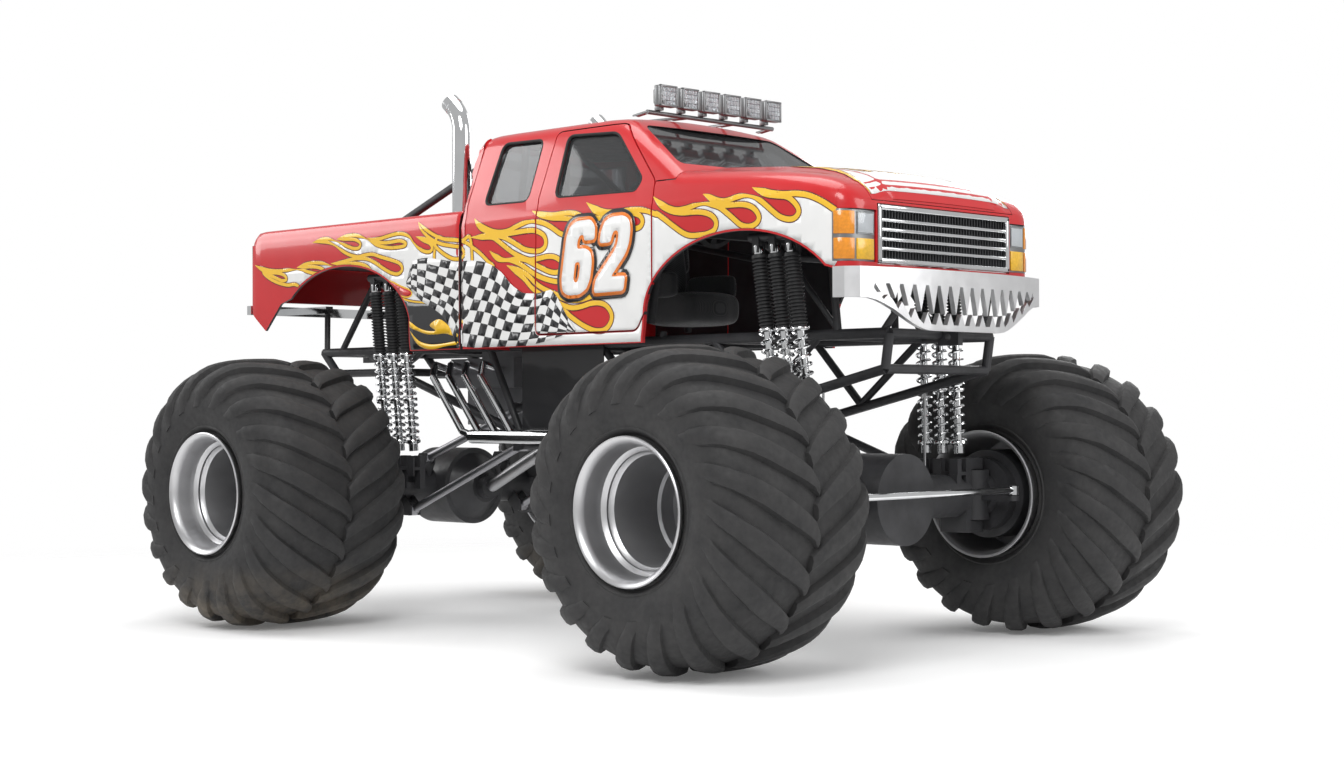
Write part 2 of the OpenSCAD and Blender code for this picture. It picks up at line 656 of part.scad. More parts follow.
cage_y = 560;
cage_top_y = 500;
module roll_cage() {
    foot = cab_floor_z;
    top = roof_z - 95;
    front = screen_top[0] - 90;
    back = cab_back + 160;
    mid = door_back - 100;
    // posts and rails as [foot x, top x]
    color("#202022") difference() {
        union() {
        both_sides() {
            for (p = [[back - 30, back + 60], [mid, mid]])
                bar([p[0], cage_y, foot], [p[1], cage_top_y, top], 24);
            run([[door_front - 260, cage_y + 40, foot], [door_front - 120, cage_y + 40, belt_z],
                 [front, cage_top_y, top]], 24);
            bar([back + 60, cage_top_y, top], [front, cage_top_y, top], 24);
            bar([mid, cage_y - 10, belt_z - 200], [door_front - 190, cage_y + 40, foot + 380], 22);
            bar([mid, cage_top_y, top - 5], [door_front - 160, cage_y + 30, belt_z - 250], 18);
        }
        for (x = [back + 60, mid, front])
            bar([x, -cage_top_y, top], [x, cage_top_y, top], 24);
        bar([mid, -cage_y + 10, belt_z - 150], [mid, cage_y - 10, belt_z - 150], 22);
        }
        block([-far, -far, 0], [far, far, cab_floor_z]);
    }
}
bar_y = 500;
module bed_bars() {
    hoop_x = bed_front - 130;
    hoop_z = belt_z + 330;
    color("#202022") difference() {
        union() {
        both_sides() {
            bar([hoop_x, bar_y, bed_floor_z], [hoop_x, bar_y, hoop_z], 26);
            bar([hoop_x, bar_y, hoop_z - 20], [rear_x - 600, bar_y, bed_floor_z], 26);
        }
        bar([hoop_x, -bar_y, hoop_z], [hoop_x, bar_y, hoop_z], 26);
        }
        block([-far, -far, 0], [far, far, bed_floor_z]);
    }
}

// ---- axles ----
yoke_z = [150, 215];                    // height of an ear's faces above the axle centre
knuckle_r = 105;
yoke_in = kingpin_y - knuckle_r - 22;   // outer face of the yoke's web
module axle(x, ahead) {
    // ahead is +1 where the drive shaft joins from the front of the casing
    translate([x, 0, hub_z]) {
        axis_y(-yoke_in + 20, yoke_in - 20, axle_tube_r);
        scale([ahead, 1, 1]) {
            axis_x(-185, 215, diff_r);
            axis_x(200, 330, diff_r - 20, 110);
            axis_x(320, 390, 80);
        }
        both_sides() difference() {
            union() {
                block([-95, yoke_in - 45, -yoke_z[1]], [95, yoke_in, yoke_z[1]]);
                for (s = [1, -1]) scale([1, 1, s]) {
                    block([-70, yoke_in - 45, yoke_z[0]], [70, kingpin_y, yoke_z[1]]);
                    translate([0, kingpin_y, 0]) axis_z(yoke_z[0], yoke_z[1], 70);
                }
            }
            translate([0, kingpin_y, 0]) axis_z(-yoke_z[1] - 10, yoke_z[1] + 10, trunnion_r + run_gap);
        }
    }
}
module axle_pads(t) {
    // plates that the shock absorbers' feet stand on
    both_sides() for (i = [0 : 2]) let (p = shock_foot(t, i)) {
        for (dy = [-60, 22])
            block([p[0] - 30, p[1] + dy, hub_z + 60 + dy], [p[0] + 30, p[1] + dy + 38 * (dy < 0 ? 1 : 0.3), shock_foot_z + 24]);
        block([p[0] - 30, p[1] - 60, shock_foot_z - 70], [p[0] + 30, p[1] + 33, shock_foot_z - 50]);
    }
    xs = [for (i = [0 : 2]) shock_foot(t, i)[0]];
    both_sides() block([min(min(xs) - 30, t[0] - 40), shock_foot_y - 65, hub_z + 40],
                       [max(max(xs) + 30, t[0] + 40), shock_foot_y - 35, hub_z + 125]);
}
module front_axle() {
    color("#1c1c1e") { axle(front_x, -1); axle_pads(shock_table[0]); link_ears(front_x, -1); }
}
module rear_axle() {
    color("#1c1c1e") { axle(rear_x, 1); axle_pads(shock_table[1]); link_ears(rear_x, 1); }
}
// Ears on the axle that hold the links: [y, z above the axle, reach towards the middle]
module link_ears(x, ahead) {
    ear = 34;
    both_sides() for (e = link_table)
        translate([x, e[0], hub_z]) scale([ahead, 1, 1]) for (dy = [-42, 30])
            slab_xz(dy, dy + 12) polygon([[-60, 0], [60, 0], [e[2] + ear, e[1] - sign(e[1]) * ear],
                [e[2] + ear, e[1] + sign(e[1]) * ear], [e[2] - ear, e[1] + sign(e[1]) * ear]]);
}
module links(x, ahead) {
    both_sides() for (r = link_table) {
        a = [x + ahead * r[2], r[0], hub_z + r[1]];
        b = [-ahead * r[3], r[5], r[4]];
        d = unit(b - a);
        bar(a + 18 * d, b - 18 * d, 26, 24);
        for (e = [a, b])
            translate(e) rotate([90, 0, 0]) cylinder(r = 36, h = 60 - 2 * seat_gap, center = true, $fn = 24);
    }
}
module front_links() { color("#2a2a2c") links(front_x, -1); }
module rear_links() { color("#2a2a2c") links(rear_x, 1); }

case_z = belly_z + 170;
module transfer_case() {
    color("dimgray") {
        block([-260, -190, belly_z + 50], [240, 190, belly_z + 330]);
        translate([0, 0, case_z]) { axis_x(-330, 310, 75); }
        for (x = [-180, 160])
            block([x - 25, -truss_y - 5, belly_z + 20], [x + 25, truss_y + 5, belly_z + 60]);
    }
}
module drive_shafts() {
    color("silver") for (s = [[front_x - 391, 312], [rear_x + 391, -332]])
        bar([s[0], 0, hub_z], [s[1], 0, case_z], 42, 24);
}
module engine_block() {
    // block, heads and sump as one plain mass behind the cab
    color("dimgray") {
        block([-1500, -170, belly_z + 60], [-790, 170, belly_z + 420]);
        both_sides() block([-1490, 120, belly_z + 300], [-870, 320, belly_z + 490]);
        block([-1400, -130, belly_z + 400], [-860, 130, bed_floor_z - floor_t - 30]);
        block([-791, -100, case_z + 80], [-260, 100, case_z + 150]);
    }
}
module exhaust_headers() {
    top_z = belly_z + 410;
    y0 = 330;
    y1 = 560;
    color("silver") both_sides() {
        for (i = [0 : 3]) {
            x = -1455 + i * 158;
            run([[x, y0 - 4, top_z], [x + 20, y1 - 60, top_z + 40], [x + 70, y1, top_z - 40],
                 [x + 360, y1, belly_z + 20], [x + 480, y1, belly_z - 10]], 24);
        }
        bar([-1000, y1, belly_z - 12], [-250, y1, belly_z - 12], 44);
    }
}
module side_panels() {
    color("#151517") both_sides()
        block([-600, truss_y + tube_r + seat_gap, belly_z], [130, truss_y + tube_r + 8, rail_z]);
}
module limit_cables() {
    color("gray") for (c = [[front_x - 30, chord_z(belly_front, front_x - 30)],
                          [rear_x - 30, chord_z(belly_rear, rear_x - 30)]])
        both_sides() bar([c[0], truss_y, hub_z + axle_tube_r - 12], [c[0], truss_y, c[1] - tube_r + 6], 7);
}
stack_y = 640;
stack_x = bed_front - 220;
module exhaust_stacks() {
    r = 60;
    bend_r = 230;
    bend = 50;
    z1 = belt_z + 500;
    color("silver") both_sides() translate([stack_x, stack_y, 0]) difference() {
        union() {
            axis_z(bed_floor_z, bed_floor_z + 20, r + 35);
            axis_z(bed_floor_z, z1, r);
            translate([-bend_r, 0, z1]) rotate([90, 0, 0]) rotate_extrude(angle = bend, $fn = 60)
                translate([bend_r, 0]) circle(r = r - 2, $fn = 40);
            translate([-bend_r, 0, z1]) rotate([0, -bend, 0]) translate([bend_r, 0, -12]) cylinder(r = r, h = 52, $fn = round_fn);
        }
        translate([-bend_r, 0, z1]) rotate([0, -bend, 0]) translate([bend_r, 0, -10]) cylinder(r = r - 6, h = 100, $fn = round_fn);
    }
}

// ---- inside the cab ----
module driver_seat() {
    x = door_back + 230;
    color("#262628") {
        slab_xz(-260, 260) polygon([[x - 20, cab_floor_z], [x + 420, cab_floor_z], [x + 500, cab_floor_z + 260],
            [x + 40, cab_floor_z + 200], [x - 110, cab_floor_z + 800], [x - 230, cab_floor_z + 790],
            [x - 130, cab_floor_z + 60]]);
        block([x - 230, -110, cab_floor_z + 760], [x - 130, 110, cab_floor_z + 920]);
        both_sides() slab_xz(240, 290) polygon([[x - 60, cab_floor_z + 180], [x + 420, cab_floor_z + 200],
            [x + 400, cab_floor_z + 330], [x, cab_floor_z + 380], [x - 100, cab_floor_z + 700], [x - 180, cab_floor_z + 690]]);
    }
}
module steering_column() {
    wheel = [door_front - 270, 0, cab_floor_z + 640];
    dash_half = cage_y + 40 - 24 - clear - 6;
    color("#262628") {
        bar([cowl_x - 150, 0, cab_floor_z + 560], wheel, 24, 24);
        translate(wheel) rotate([0, -65, 0]) {
            difference() {
                cylinder(r = 180, h = 28, center = true, $fn = round_fn);
                cylinder(r = 152, h = 40, center = true, $fn = round_fn);
            }
            cube([310, 40, 16], center = true);
            cube([40, 310, 16], center = true);
        }
        slab_xz(-dash_half, dash_half) polygon([[cowl_x - 90.5, cab_floor_z + 490], [cowl_x - 90.5, belt_z - 20],
            [cowl_x - 260, belt_z - 10], [cowl_x - 230, cab_floor_z + 500]]);
    }
}

// ---- wheels ----
wheel_out = overall_w / 2;              // outer face of the tyre
wheel_in = wheel_out - tyre_w;          // inner face of the tyre
rim_out = wheel_out - 20;
rim_in = wheel_in - 23;
disc_y = rim_out - 570;                 // outer face of the wheel's disc
disc_t = 40;
hub_fit = [disc_y - 90, disc_y + 10];   // length of the bore on the spindle
drum_r = dish_r - 16;
well_r = rim_r - 28;

module knuckle(x, s, arm_dir) {
    color("#1c1c1e") side(s) translate([x, 0, hub_z]) {
        translate([0, kingpin_y, 0]) difference() {
            union() {
                axis_z(clear - yoke_z[0], yoke_z[0] - clear, knuckle_r);
                axis_z(-yoke_z[1] + 4, yoke_z[1] - 4, trunnion_r);
            }
        }
        axis_y(kingpin_y + 20, kingpin_y + 91, 130);
        axis_y(kingpin_y + 90, wheel_in + 60, 215, 215);
        axis_y(wheel_in + 60, disc_y - disc_t - 100, drum_r);
        axis_y(disc_y - disc_t - 101, disc_y + 40, spindle_r);
        // steering arm with its ball stud
        scale([arm_dir, 1, 1]) {
            block([60, kingpin_y - 32, -30], [arm_len, kingpin_y + 32, 0]);
            translate([arm_len, kingpin_y, 0]) {
                axis_z(-30, 0, 32);
                axis_z(-1, 62, stud_r);
            }
        }
    }
}
module rim(x, s) {
    // radius and distance from the centre line, once round the rim's section
    section = [[spindle_r + run_gap, hub_fit[0]], [spindle_r + 45, hub_fit[0]],
        [spindle_r + 60, disc_y - disc_t], [well_r - 14, disc_y - disc_t - 40], [well_r - 14, rim_in + 14],
        [rim_r - 8, rim_in], [rim_r, rim_in + 4], [rim_r, rim_in + 14], [well_r, rim_in + 24],
        [well_r, rim_out - 24], [rim_r, rim_out - 14], [rim_r, rim_out - 4], [rim_r - 8, rim_out],
        [well_r - 10, rim_out - 30], [well_r - 22, rim_out - 150], [dish_r + 18, rim_out - 178],
        [dish_r, rim_out - 190], [dish_r, disc_y], [spindle_r + run_gap, disc_y + 10]];
    color("silver") side(s) translate([x, 0, hub_z]) rotate([-90, 0, 0])
        rotate_extrude($fn = round_fn) polygon(section);
}
module tyre(x, s) {
    bead = rim_in + 25;
    bead_out = rim_out - 25;
    mid = (wheel_in + wheel_out) / 2;
    // half of the outside as [radius, distance in from the tyre's side]
    outside = [[well_r + seat_gap, 48], [rim_r + 20, 30], [470, 8], [560, 0], [650, 6], [740, 40],
        [790, 95], [tyre_r - 14, 190], [tyre_r - 3, 330], [tyre_r, 440]];
    inside = [[well_r + seat_gap, 90], [480, 60], [640, 60], [730, 110], [tyre_r - 60, 240]];
    ring = concat([for (p = outside) [p[0], wheel_in + p[1]]],
                  [for (i = [len(outside) - 1 : -1 : 0]) [outside[i][0], wheel_out - outside[i][1]]],
                  [for (p = inside) [p[0], wheel_out - p[1]]],
                  [for (i = [len(inside) - 1 : -1 : 0]) [inside[i][0], wheel_in + inside[i][1]]]);
    color("#2b2b2b") side(s) translate([x, 0, hub_z]) rotate([-90, 0, 0])
        rotate_extrude($fn = 72) polygon(ring);
}
module tie_rod(x, arm_dir) {
    ex = x + arm_dir * arm_len;
    eye_z = [hub_z + 6, hub_z + 56];
    color("silver") difference() {
        union() {
            translate([ex, 0, (eye_z[0] + eye_z[1]) / 2]) axis_y(-kingpin_y + 20, kingpin_y - 20, tie_rod_r);
            both_sides() translate([ex, kingpin_y, 0]) axis_z(eye_z[0], eye_z[1], 32);
        }
        translate([ex, kingpin_y, 0]) axis_z(hub_z - 50, hub_z + 100, stud_r + run_gap);
        translate([ex, -kingpin_y, 0]) axis_z(hub_z - 50, hub_z + 100, stud_r + loose_gap);
    }
}

place() chassis_frame();
place() side_frame(1);  // side_frame_left
place() side_frame(-1);  // side_frame_right
place() shock_towers();
place() roll_cage();
place() bed_bars();
place() front_axle();
place() rear_axle();
place() front_links();
place() rear_links();
place() front_shocks();
place() rear_shocks();
place() drive_shafts();
place() transfer_case();
place() engine_block();
place() exhaust_headers();
place() exhaust_stacks();
place() side_panels();
place() limit_cables();
place() cab_shell();
place() bonnet();
place() fender(1);  // fender_left
place() fender(-1);  // fender_right
place() nose_panel();
place() door(1);  // door_left
place() door(-1);  // door_right
place() bed();
place() tailgate();
place() windscreen();
place() rear_window();
place() quarter_windows();
place() door_glass(1);  // door_glass_left
place() door_glass(-1);  // door_glass_right
place() grille();
place() headlamps();
place() tail_lamps();
place() front_bumper();
place() rear_bumper();
place() light_bar();
place() roof_lamps();
place() driver_seat();
place() steering_column();
place() knuckle(front_x, 1, 1);  // knuckle_front_left
place() knuckle(front_x, -1, 1);  // knuckle_front_right
place() knuckle(rear_x, 1, -1);  // knuckle_rear_left
place() knuckle(rear_x, -1, -1);  // knuckle_rear_right
place() rim(front_x, 1);  // rim_front_left
place() rim(front_x, -1);  // rim_front_right
place() rim(rear_x, 1);  // rim_rear_left
place() rim(rear_x, -1);  // rim_rear_right
place() tyre(front_x, 1);  // tyre_front_left
place() tyre(front_x, -1);  // tyre_front_right
place() tyre(rear_x, 1);  // tyre_rear_left
place() tyre(rear_x, -1);  // tyre_rear_right
place() tie_rod(front_x, 1);  // tie_rod_front
place() tie_rod(rear_x, -1);  // tie_rod_rear
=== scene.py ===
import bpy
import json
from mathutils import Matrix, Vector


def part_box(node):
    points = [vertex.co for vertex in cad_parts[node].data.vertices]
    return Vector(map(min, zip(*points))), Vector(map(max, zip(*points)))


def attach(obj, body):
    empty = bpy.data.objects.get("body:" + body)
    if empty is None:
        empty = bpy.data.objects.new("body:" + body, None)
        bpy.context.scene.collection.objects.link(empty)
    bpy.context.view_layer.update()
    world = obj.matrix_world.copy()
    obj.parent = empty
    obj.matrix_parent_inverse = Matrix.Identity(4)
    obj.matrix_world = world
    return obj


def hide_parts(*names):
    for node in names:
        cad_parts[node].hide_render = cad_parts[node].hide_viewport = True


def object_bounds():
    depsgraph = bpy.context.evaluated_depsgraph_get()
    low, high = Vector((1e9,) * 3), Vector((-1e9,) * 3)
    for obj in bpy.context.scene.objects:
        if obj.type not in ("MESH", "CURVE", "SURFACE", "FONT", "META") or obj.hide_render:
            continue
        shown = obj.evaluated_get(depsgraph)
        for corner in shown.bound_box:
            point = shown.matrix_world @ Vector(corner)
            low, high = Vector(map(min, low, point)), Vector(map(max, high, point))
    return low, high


bl_info = {
    "name": "Monster Truck",
    "version": (1, 0, 0),
    "blender": (4, 5, 0),
    "location": "3D View > Sidebar > Truck",
    "description": "Builds the body, wheels, chassis finish and paintwork of a monster truck round its frame",
    "category": "Object",
}

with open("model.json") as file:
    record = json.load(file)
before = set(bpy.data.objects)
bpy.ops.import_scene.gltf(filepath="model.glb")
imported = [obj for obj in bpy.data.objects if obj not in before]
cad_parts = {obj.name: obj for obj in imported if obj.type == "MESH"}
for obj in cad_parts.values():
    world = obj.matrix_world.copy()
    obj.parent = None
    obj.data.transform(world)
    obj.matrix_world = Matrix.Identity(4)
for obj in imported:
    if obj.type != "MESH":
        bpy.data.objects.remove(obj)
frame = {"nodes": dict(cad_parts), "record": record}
CAD_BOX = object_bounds()

import json
import math

import bmesh
import bpy
from bpy.props import FloatVectorProperty, IntProperty, PointerProperty
from mathutils import Matrix, Vector
from mathutils.bvhtree import BVHTree
from mathutils.geometry import delaunay_2d_cdt

SIDES = (("left", 1), ("right", -1))
SLOTS = {p["node"]: p["material_slot"] for p in frame["record"]["subparts"]}
BODY_OF = {n: b for b, ns in frame["record"]["behaviour"]["bodies"].items() for n in ns}


def centre(node):
    """Middle of a node's box."""
    lo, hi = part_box(node)
    return (Vector(lo) + Vector(hi)) / 2


FRONT_AXLE_X = centre("tyre_front_right").x
REAR_AXLE_X = centre("tyre_rear_right").x
HUB_Z = centre("tyre_front_right").z
WHEEL_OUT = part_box("tyre_front_left")[1][1]
WHEEL_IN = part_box("tyre_front_left")[0][1]
NOSE_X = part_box("nose_panel")[1][0]
CAB_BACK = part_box("cab_shell")[0][0]
BED_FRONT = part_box("bed")[1][0]
BED_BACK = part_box("bed")[0][0]
BED_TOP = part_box("bed")[1][2]
SILL_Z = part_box("door_left")[0][2] - 0.077
SKIN = 0.022            # thickness of the body's skin
FILM = 0.0006           # thickness of a paint film
PANEL_CUT = 0.004       # half of the gap between two panels
WINDOW_CORNER = 0.055   # radius of a side window's corners
FAR = 1.2               # how far out from the middle a side cutter reaches


# ---------------------------------------------------------------- mesh tools

def finish_object(name, bm, material=None, smooth=35):
    """Turns a bmesh into an object at the origin, shaded smooth below an angle in degrees."""
    me = bpy.data.meshes.new(name)
    bm.to_mesh(me)
    bm.free()
    ob = bpy.data.objects.new(name, me)
    bpy.context.scene.collection.objects.link(ob)
    if material:
        me.materials.append(material)
    if smooth:
        shade(me, smooth)
    return ob


def shade(me, angle):
    """Smooth shading, with edges sharper than the angle kept crisp."""
    bm = bmesh.new()
    bm.from_mesh(me)
    limit = math.radians(angle)
    for f in bm.faces:
        f.smooth = True
    for e in bm.edges:
        e.smooth = not (len(e.link_faces) == 2 and e.calc_face_angle(0) > limit)
    bm.to_mesh(me)
    bm.free()


def settle(ob):
    """Makes an object's modifiers real."""
    graph = bpy.context.evaluated_depsgraph_get()
    me = bpy.data.meshes.new_from_object(ob.evaluated_get(graph))
    ob.modifiers.clear()
    ob.data = me
    return ob


def place(ob, body, stands_for=()):
    """Joins a finished piece to the frame."""
    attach(ob, body)
    if stands_for:
        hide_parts(*stands_for)
    return ob


def prism_bm(outline, axis, lo, hi):
    """A closed outline drawn square to an axis and extruded between two positions on it."""
    bm = bmesh.new()

    def point(p):
        return {"x": (lo, p[0], p[1]), "y": (p[0], lo, p[1]), "z": (p[0], p[1], lo)}[axis]
    face = bm.faces.new([bm.verts.new(point(p)) for p in outline])
    out = bmesh.ops.extrude_face_region(bm, geom=[face])
    move = {"x": Vector((hi - lo, 0, 0)), "y": Vector((0, hi - lo, 0)), "z": Vector((0, 0, hi - lo))}[axis]
    bmesh.ops.translate(bm, verts=[v for v in out["geom"] if isinstance(v, bmesh.types.BMVert)], vec=move)
    bmesh.ops.recalc_face_normals(bm, faces=bm.faces)
    return bm


def prism(outline, axis, lo, hi):
    """A prism as an object, to cut with."""
    return finish_object("cutter", prism_bm(outline, axis, lo, hi), smooth=0)


def boolean(ob, tool, operation="DIFFERENCE"):
    """Cuts, joins or intersects an object with another, at once."""
    mod = ob.modifiers.new("cut", "BOOLEAN")
    mod.object, mod.operation, mod.solver = tool, operation, "MANIFOLD"
    settle(ob)
    bpy.data.objects.remove(tool)
    return ob


def copy_of(ob, name):
    """A second object with its own copy of the mesh."""
    new = bpy.data.objects.new(name, ob.data.copy())
    bpy.context.scene.collection.objects.link(new)
    return new


def rounded(points, radius, steps=5):
    """A closed outline with its corners rounded."""
    out = []
    n = len(points)
    for i in range(n):
        a, b, c = (Vector(points[(i + k) % n]) for k in (-1, 0, 1))
        r = min(radius, (a - b).length * 0.45, (c - b).length * 0.45)
        p, q = b + (a - b).normalized() * r, b + (c - b).normalized() * r
        for k in range(steps + 1):
            t = k / steps
            out.append(tuple(p * (1 - t) ** 2 + b * 2 * t * (1 - t) + q * t * t))
    return out


def lathe(bm, profile, origin, axis, steps=48):
    """Spins a profile of (radius, distance) pairs about an axis through a point."""
    axis = Vector(axis).normalized()
    side = axis.orthogonal().normalized()
    origin = Vector(origin)
    verts = [bm.verts.new(origin + side * r + axis * d) for r, d in profile]
    edges = [bm.edges.new((verts[i], verts[i + 1])) for i in range(len(verts) - 1)]
    bmesh.ops.spin(bm, geom=verts + edges, cent=origin, axis=axis, angle=math.tau, steps=steps, use_merge=True)


def tidy(bm, dist=1e-5):
    """Merged, sound and facing outwards."""
    bmesh.ops.remove_doubles(bm, verts=bm.verts, dist=dist)
    bmesh.ops.dissolve_degenerate(bm, edges=bm.edges, dist=dist)
    bmesh.ops.recalc_face_normals(bm, faces=bm.faces)


def tube(name, path, radius, material, closed=False, sides=4):
    """A round tube along a path."""
    cu = bpy.data.curves.new(name, "CURVE")
    cu.dimensions = "3D"
    cu.bevel_depth = radius
    cu.bevel_resolution = sides
    cu.use_fill_caps = True
    sp = cu.splines.new("POLY")
    sp.points.add(len(path) - 1)
    for p, co in zip(sp.points, path):
        p.co = (*co, 1)
    sp.use_cyclic_u = closed
    cu.materials.append(material)
    ob = bpy.data.objects.new(name, cu)
    bpy.context.scene.collection.objects.link(ob)
    graph = bpy.context.evaluated_depsgraph_get()
    me = bpy.data.meshes.new_from_object(ob.evaluated_get(graph))
    bpy.data.objects.remove(ob)
    bm = bmesh.new()
    bm.from_mesh(me)
    tidy(bm)
    return finish_object(name, bm, material, 50)


def join(name, obs):
    """Several finished meshes made one object; the first one's materials lead."""
    bm = bmesh.new()
    mats = []
    for ob in obs:
        start = len(bm.faces)
        bm.from_mesh(ob.data)
        bm.faces.ensure_lookup_table()
        index = []
        for m in ob.data.materials:
            if m not in mats:
                mats.append(m)
            index.append(mats.index(m))
        for f in bm.faces[start:]:
            f.material_index = index[f.material_index] if index else 0
    me = bpy.data.meshes.new(name)
    bm.to_mesh(me)
    bm.free()
    for m in mats:
        me.materials.append(m)
    new = bpy.data.objects.new(name, me)
    bpy.context.scene.collection.objects.link(new)
    for ob in obs:
        bpy.data.objects.remove(ob)
    return new


def box_bm(bm, lo, hi, bevel=0.0, segments=2):
    """A block with softened edges, added to a bmesh."""
    lo, hi = Vector(lo), Vector(hi)
    out = bmesh.ops.create_cube(bm, size=1, matrix=Matrix.Translation((lo + hi) / 2) @ Matrix.Diagonal((*(hi - lo), 1)))
    if bevel:
        edges = list({e for v in out["verts"] for e in v.link_edges})
        bmesh.ops.bevel(bm, geom=edges, offset=bevel, segments=segments, affect="EDGES", profile=0.5, material=-1)


# ---------------------------------------------------------------- finishes

class Finish:
    """A short way to write a node material on Object coordinates."""

    def __init__(self, name):
        self.mat = bpy.data.materials.new(name)
        self.mat.use_nodes = True
        self.nodes, self.links = self.mat.node_tree.nodes, self.mat.node_tree.links
        self.bsdf = self.nodes["Principled BSDF"]
        self.coord = self.nodes.new("ShaderNodeTexCoord")

    def put(self, **values):
        for key, value in values.items():
            self.bsdf.inputs[key.replace("_", " ")].default_value = value
        return self

    def noise(self, scale, detail=4, rough=0.5, stretch=None):
        n = self.nodes.new("ShaderNodeTexNoise")
        n.inputs["Scale"].default_value = scale
        n.inputs["Detail"].default_value = detail
        n.inputs["Roughness"].default_value = rough
        if stretch:
            m = self.nodes.new("ShaderNodeMapping")
            m.inputs["Scale"].default_value = stretch
            self.links.new(self.coord.outputs["Object"], m.inputs["Vector"])
            self.links.new(m.outputs["Vector"], n.inputs["Vector"])
        else:
            self.links.new(self.coord.outputs["Object"], n.inputs["Vector"])
        return n.outputs["Fac"]

    def ramp(self, factor, stops):
        r = self.nodes.new("ShaderNodeValToRGB")
        e = r.color_ramp.elements
        while len(e) < len(stops):
            e.new(0.5)
        for el, (pos, col) in zip(e, stops):
            el.position = pos
            el.color = (*col, 1) if isinstance(col, (tuple, list)) else (col, col, col, 1)
        self.links.new(factor, r.inputs["Fac"])
        return r.outputs["Color"]

    def to(self, output, socket):
        self.links.new(output, self.bsdf.inputs[socket])
        return self

    def bump(self, factor, strength, distance):
        b = self.nodes.new("ShaderNodeBump")
        b.inputs["Strength"].default_value = strength
        b.inputs["Distance"].default_value = distance
        self.links.new(factor, b.inputs["Height"])
        self.links.new(b.outputs["Normal"], self.bsdf.inputs["Normal"])
        return self

    def height(self):
        s = self.nodes.new("ShaderNodeSeparateXYZ")
        self.links.new(self.coord.outputs["Object"], s.inputs["Vector"])
        return s.outputs["Z"]

    def mix(self, factor, a, b):
        m = self.nodes.new("ShaderNodeMix")
        m.data_type = "RGBA"
        self.links.new(factor, m.inputs["Factor"])
        for value, socket in ((a, m.inputs["A"]), (b, m.inputs["B"])):
            if isinstance(value, bpy.types.NodeSocket):
                self.links.new(value, socket)
            else:
                socket.default_value = (*value, 1)
        return m.outputs["Result"]


def shift(colour, k):
    return tuple(min(1.0, c * k) for c in colour)


def gloss_paint(name, colour, rough=0.28):
    """Clear-coated show paint with a trace of orange peel."""
    f = Finish(name).put(Coat_Weight=0.55, Coat_Roughness=0.06, IOR=1.42)
    f.to(f.ramp(f.noise(3.0, 3), [(0.3, shift(colour, 0.94)), (0.7, shift(colour, 1.04))]), "Base Color")
    f.to(f.ramp(f.noise(9.0, 5), [(0.35, rough), (0.7, rough + 0.06)]), "Roughness")
    return f.bump(f.noise(140.0, 2), 0.03, 0.001).mat


def satin_black(name, colour=(0.022, 0.022, 0.024), rough=0.42):
    """Powder coat with fine dust in random patches."""
    f = Finish(name).put(IOR=1.45)
    f.to(f.ramp(f.noise(5.0, 6), [(0.35, colour), (0.75, shift(colour, 1.9))]), "Base Color")
    f.to(f.ramp(f.noise(24.0, 5), [(0.3, rough), (0.75, rough + 0.16)]), "Roughness")
    return f.bump(f.noise(420.0, 2), 0.12, 0.0008).mat


def metal(name, colour, rough, spread=0.06, grain=None, bump=0.04):
    """Bare or plated metal with cloudy roughness."""
    f = Finish(name).put(Metallic=1.0)
    f.to(f.ramp(f.noise(7.0, 5), [(0.3, shift(colour, 0.93)), (0.7, colour)]), "Base Color")
    f.to(f.ramp(f.noise(16.0, 6, 0.6, grain), [(0.3, rough), (0.75, rough + spread)]), "Roughness")
    return f.bump(f.noise(260.0, 2, 0.5, grain), bump, 0.0006).mat


def tyre_rubber(name, dust=0.0):
    """Matt rubber with scuffs, and dust low down where asked."""
    f = Finish(name).put(IOR=1.5)
    base = f.ramp(f.noise(6.0, 8, 0.65), [(0.3, (0.016, 0.016, 0.017)), (0.72, (0.034, 0.033, 0.033))])
    if dust:
        low = f.ramp(f.height(), [(0.0, 1.0), (0.42, 0.0)])
        patch = f.ramp(f.noise(4.0, 8, 0.7), [(0.38, 0.0), (0.7, 1.0)])
        both = f.nodes.new("ShaderNodeMath")
        both.operation = "MULTIPLY"
        f.links.new(low, both.inputs[0])
        f.links.new(patch, both.inputs[1])
        weak = f.nodes.new("ShaderNodeMath")
        weak.operation = "MULTIPLY"
        f.links.new(both.outputs[0], weak.inputs[0])
        weak.inputs[1].default_value = dust
        base = f.mix(weak.outputs[0], base, (0.23, 0.19, 0.14))
    f.to(base, "Base Color")
    f.to(f.ramp(f.noise(30.0, 6), [(0.3, 0.62), (0.75, 0.82)]), "Roughness")
    return f.bump(f.noise(180.0, 6, 0.7), 0.35, 0.0015).mat


def glass(name, colour, rough=0.02, transmission=0.9):
    f = Finish(name).put(Base_Color=(*colour, 1), IOR=1.45, Transmission_Weight=transmission)
    f.to(f.ramp(f.noise(3.0, 3), [(0.3, rough), (0.8, rough + 0.03)]), "Roughness")
    return f.mat


def lens(name, colour, rough=0.12, ribs=60.0):
    """Coloured lamp lens with fine ribs."""
    f = Finish(name).put(IOR=1.49, Coat_Weight=0.6, Coat_Roughness=0.04)
    f.to(f.ramp(f.noise(ribs, 2), [(0.3, shift(colour, 0.8)), (0.7, colour)]), "Base Color")
    f.to(f.ramp(f.noise(20.0, 3), [(0.3, rough), (0.7, rough + 0.08)]), "Roughness")
    return f.bump(f.noise(ribs, 1, 0.5, (1, 6, 1)), 0.3, 0.002).mat


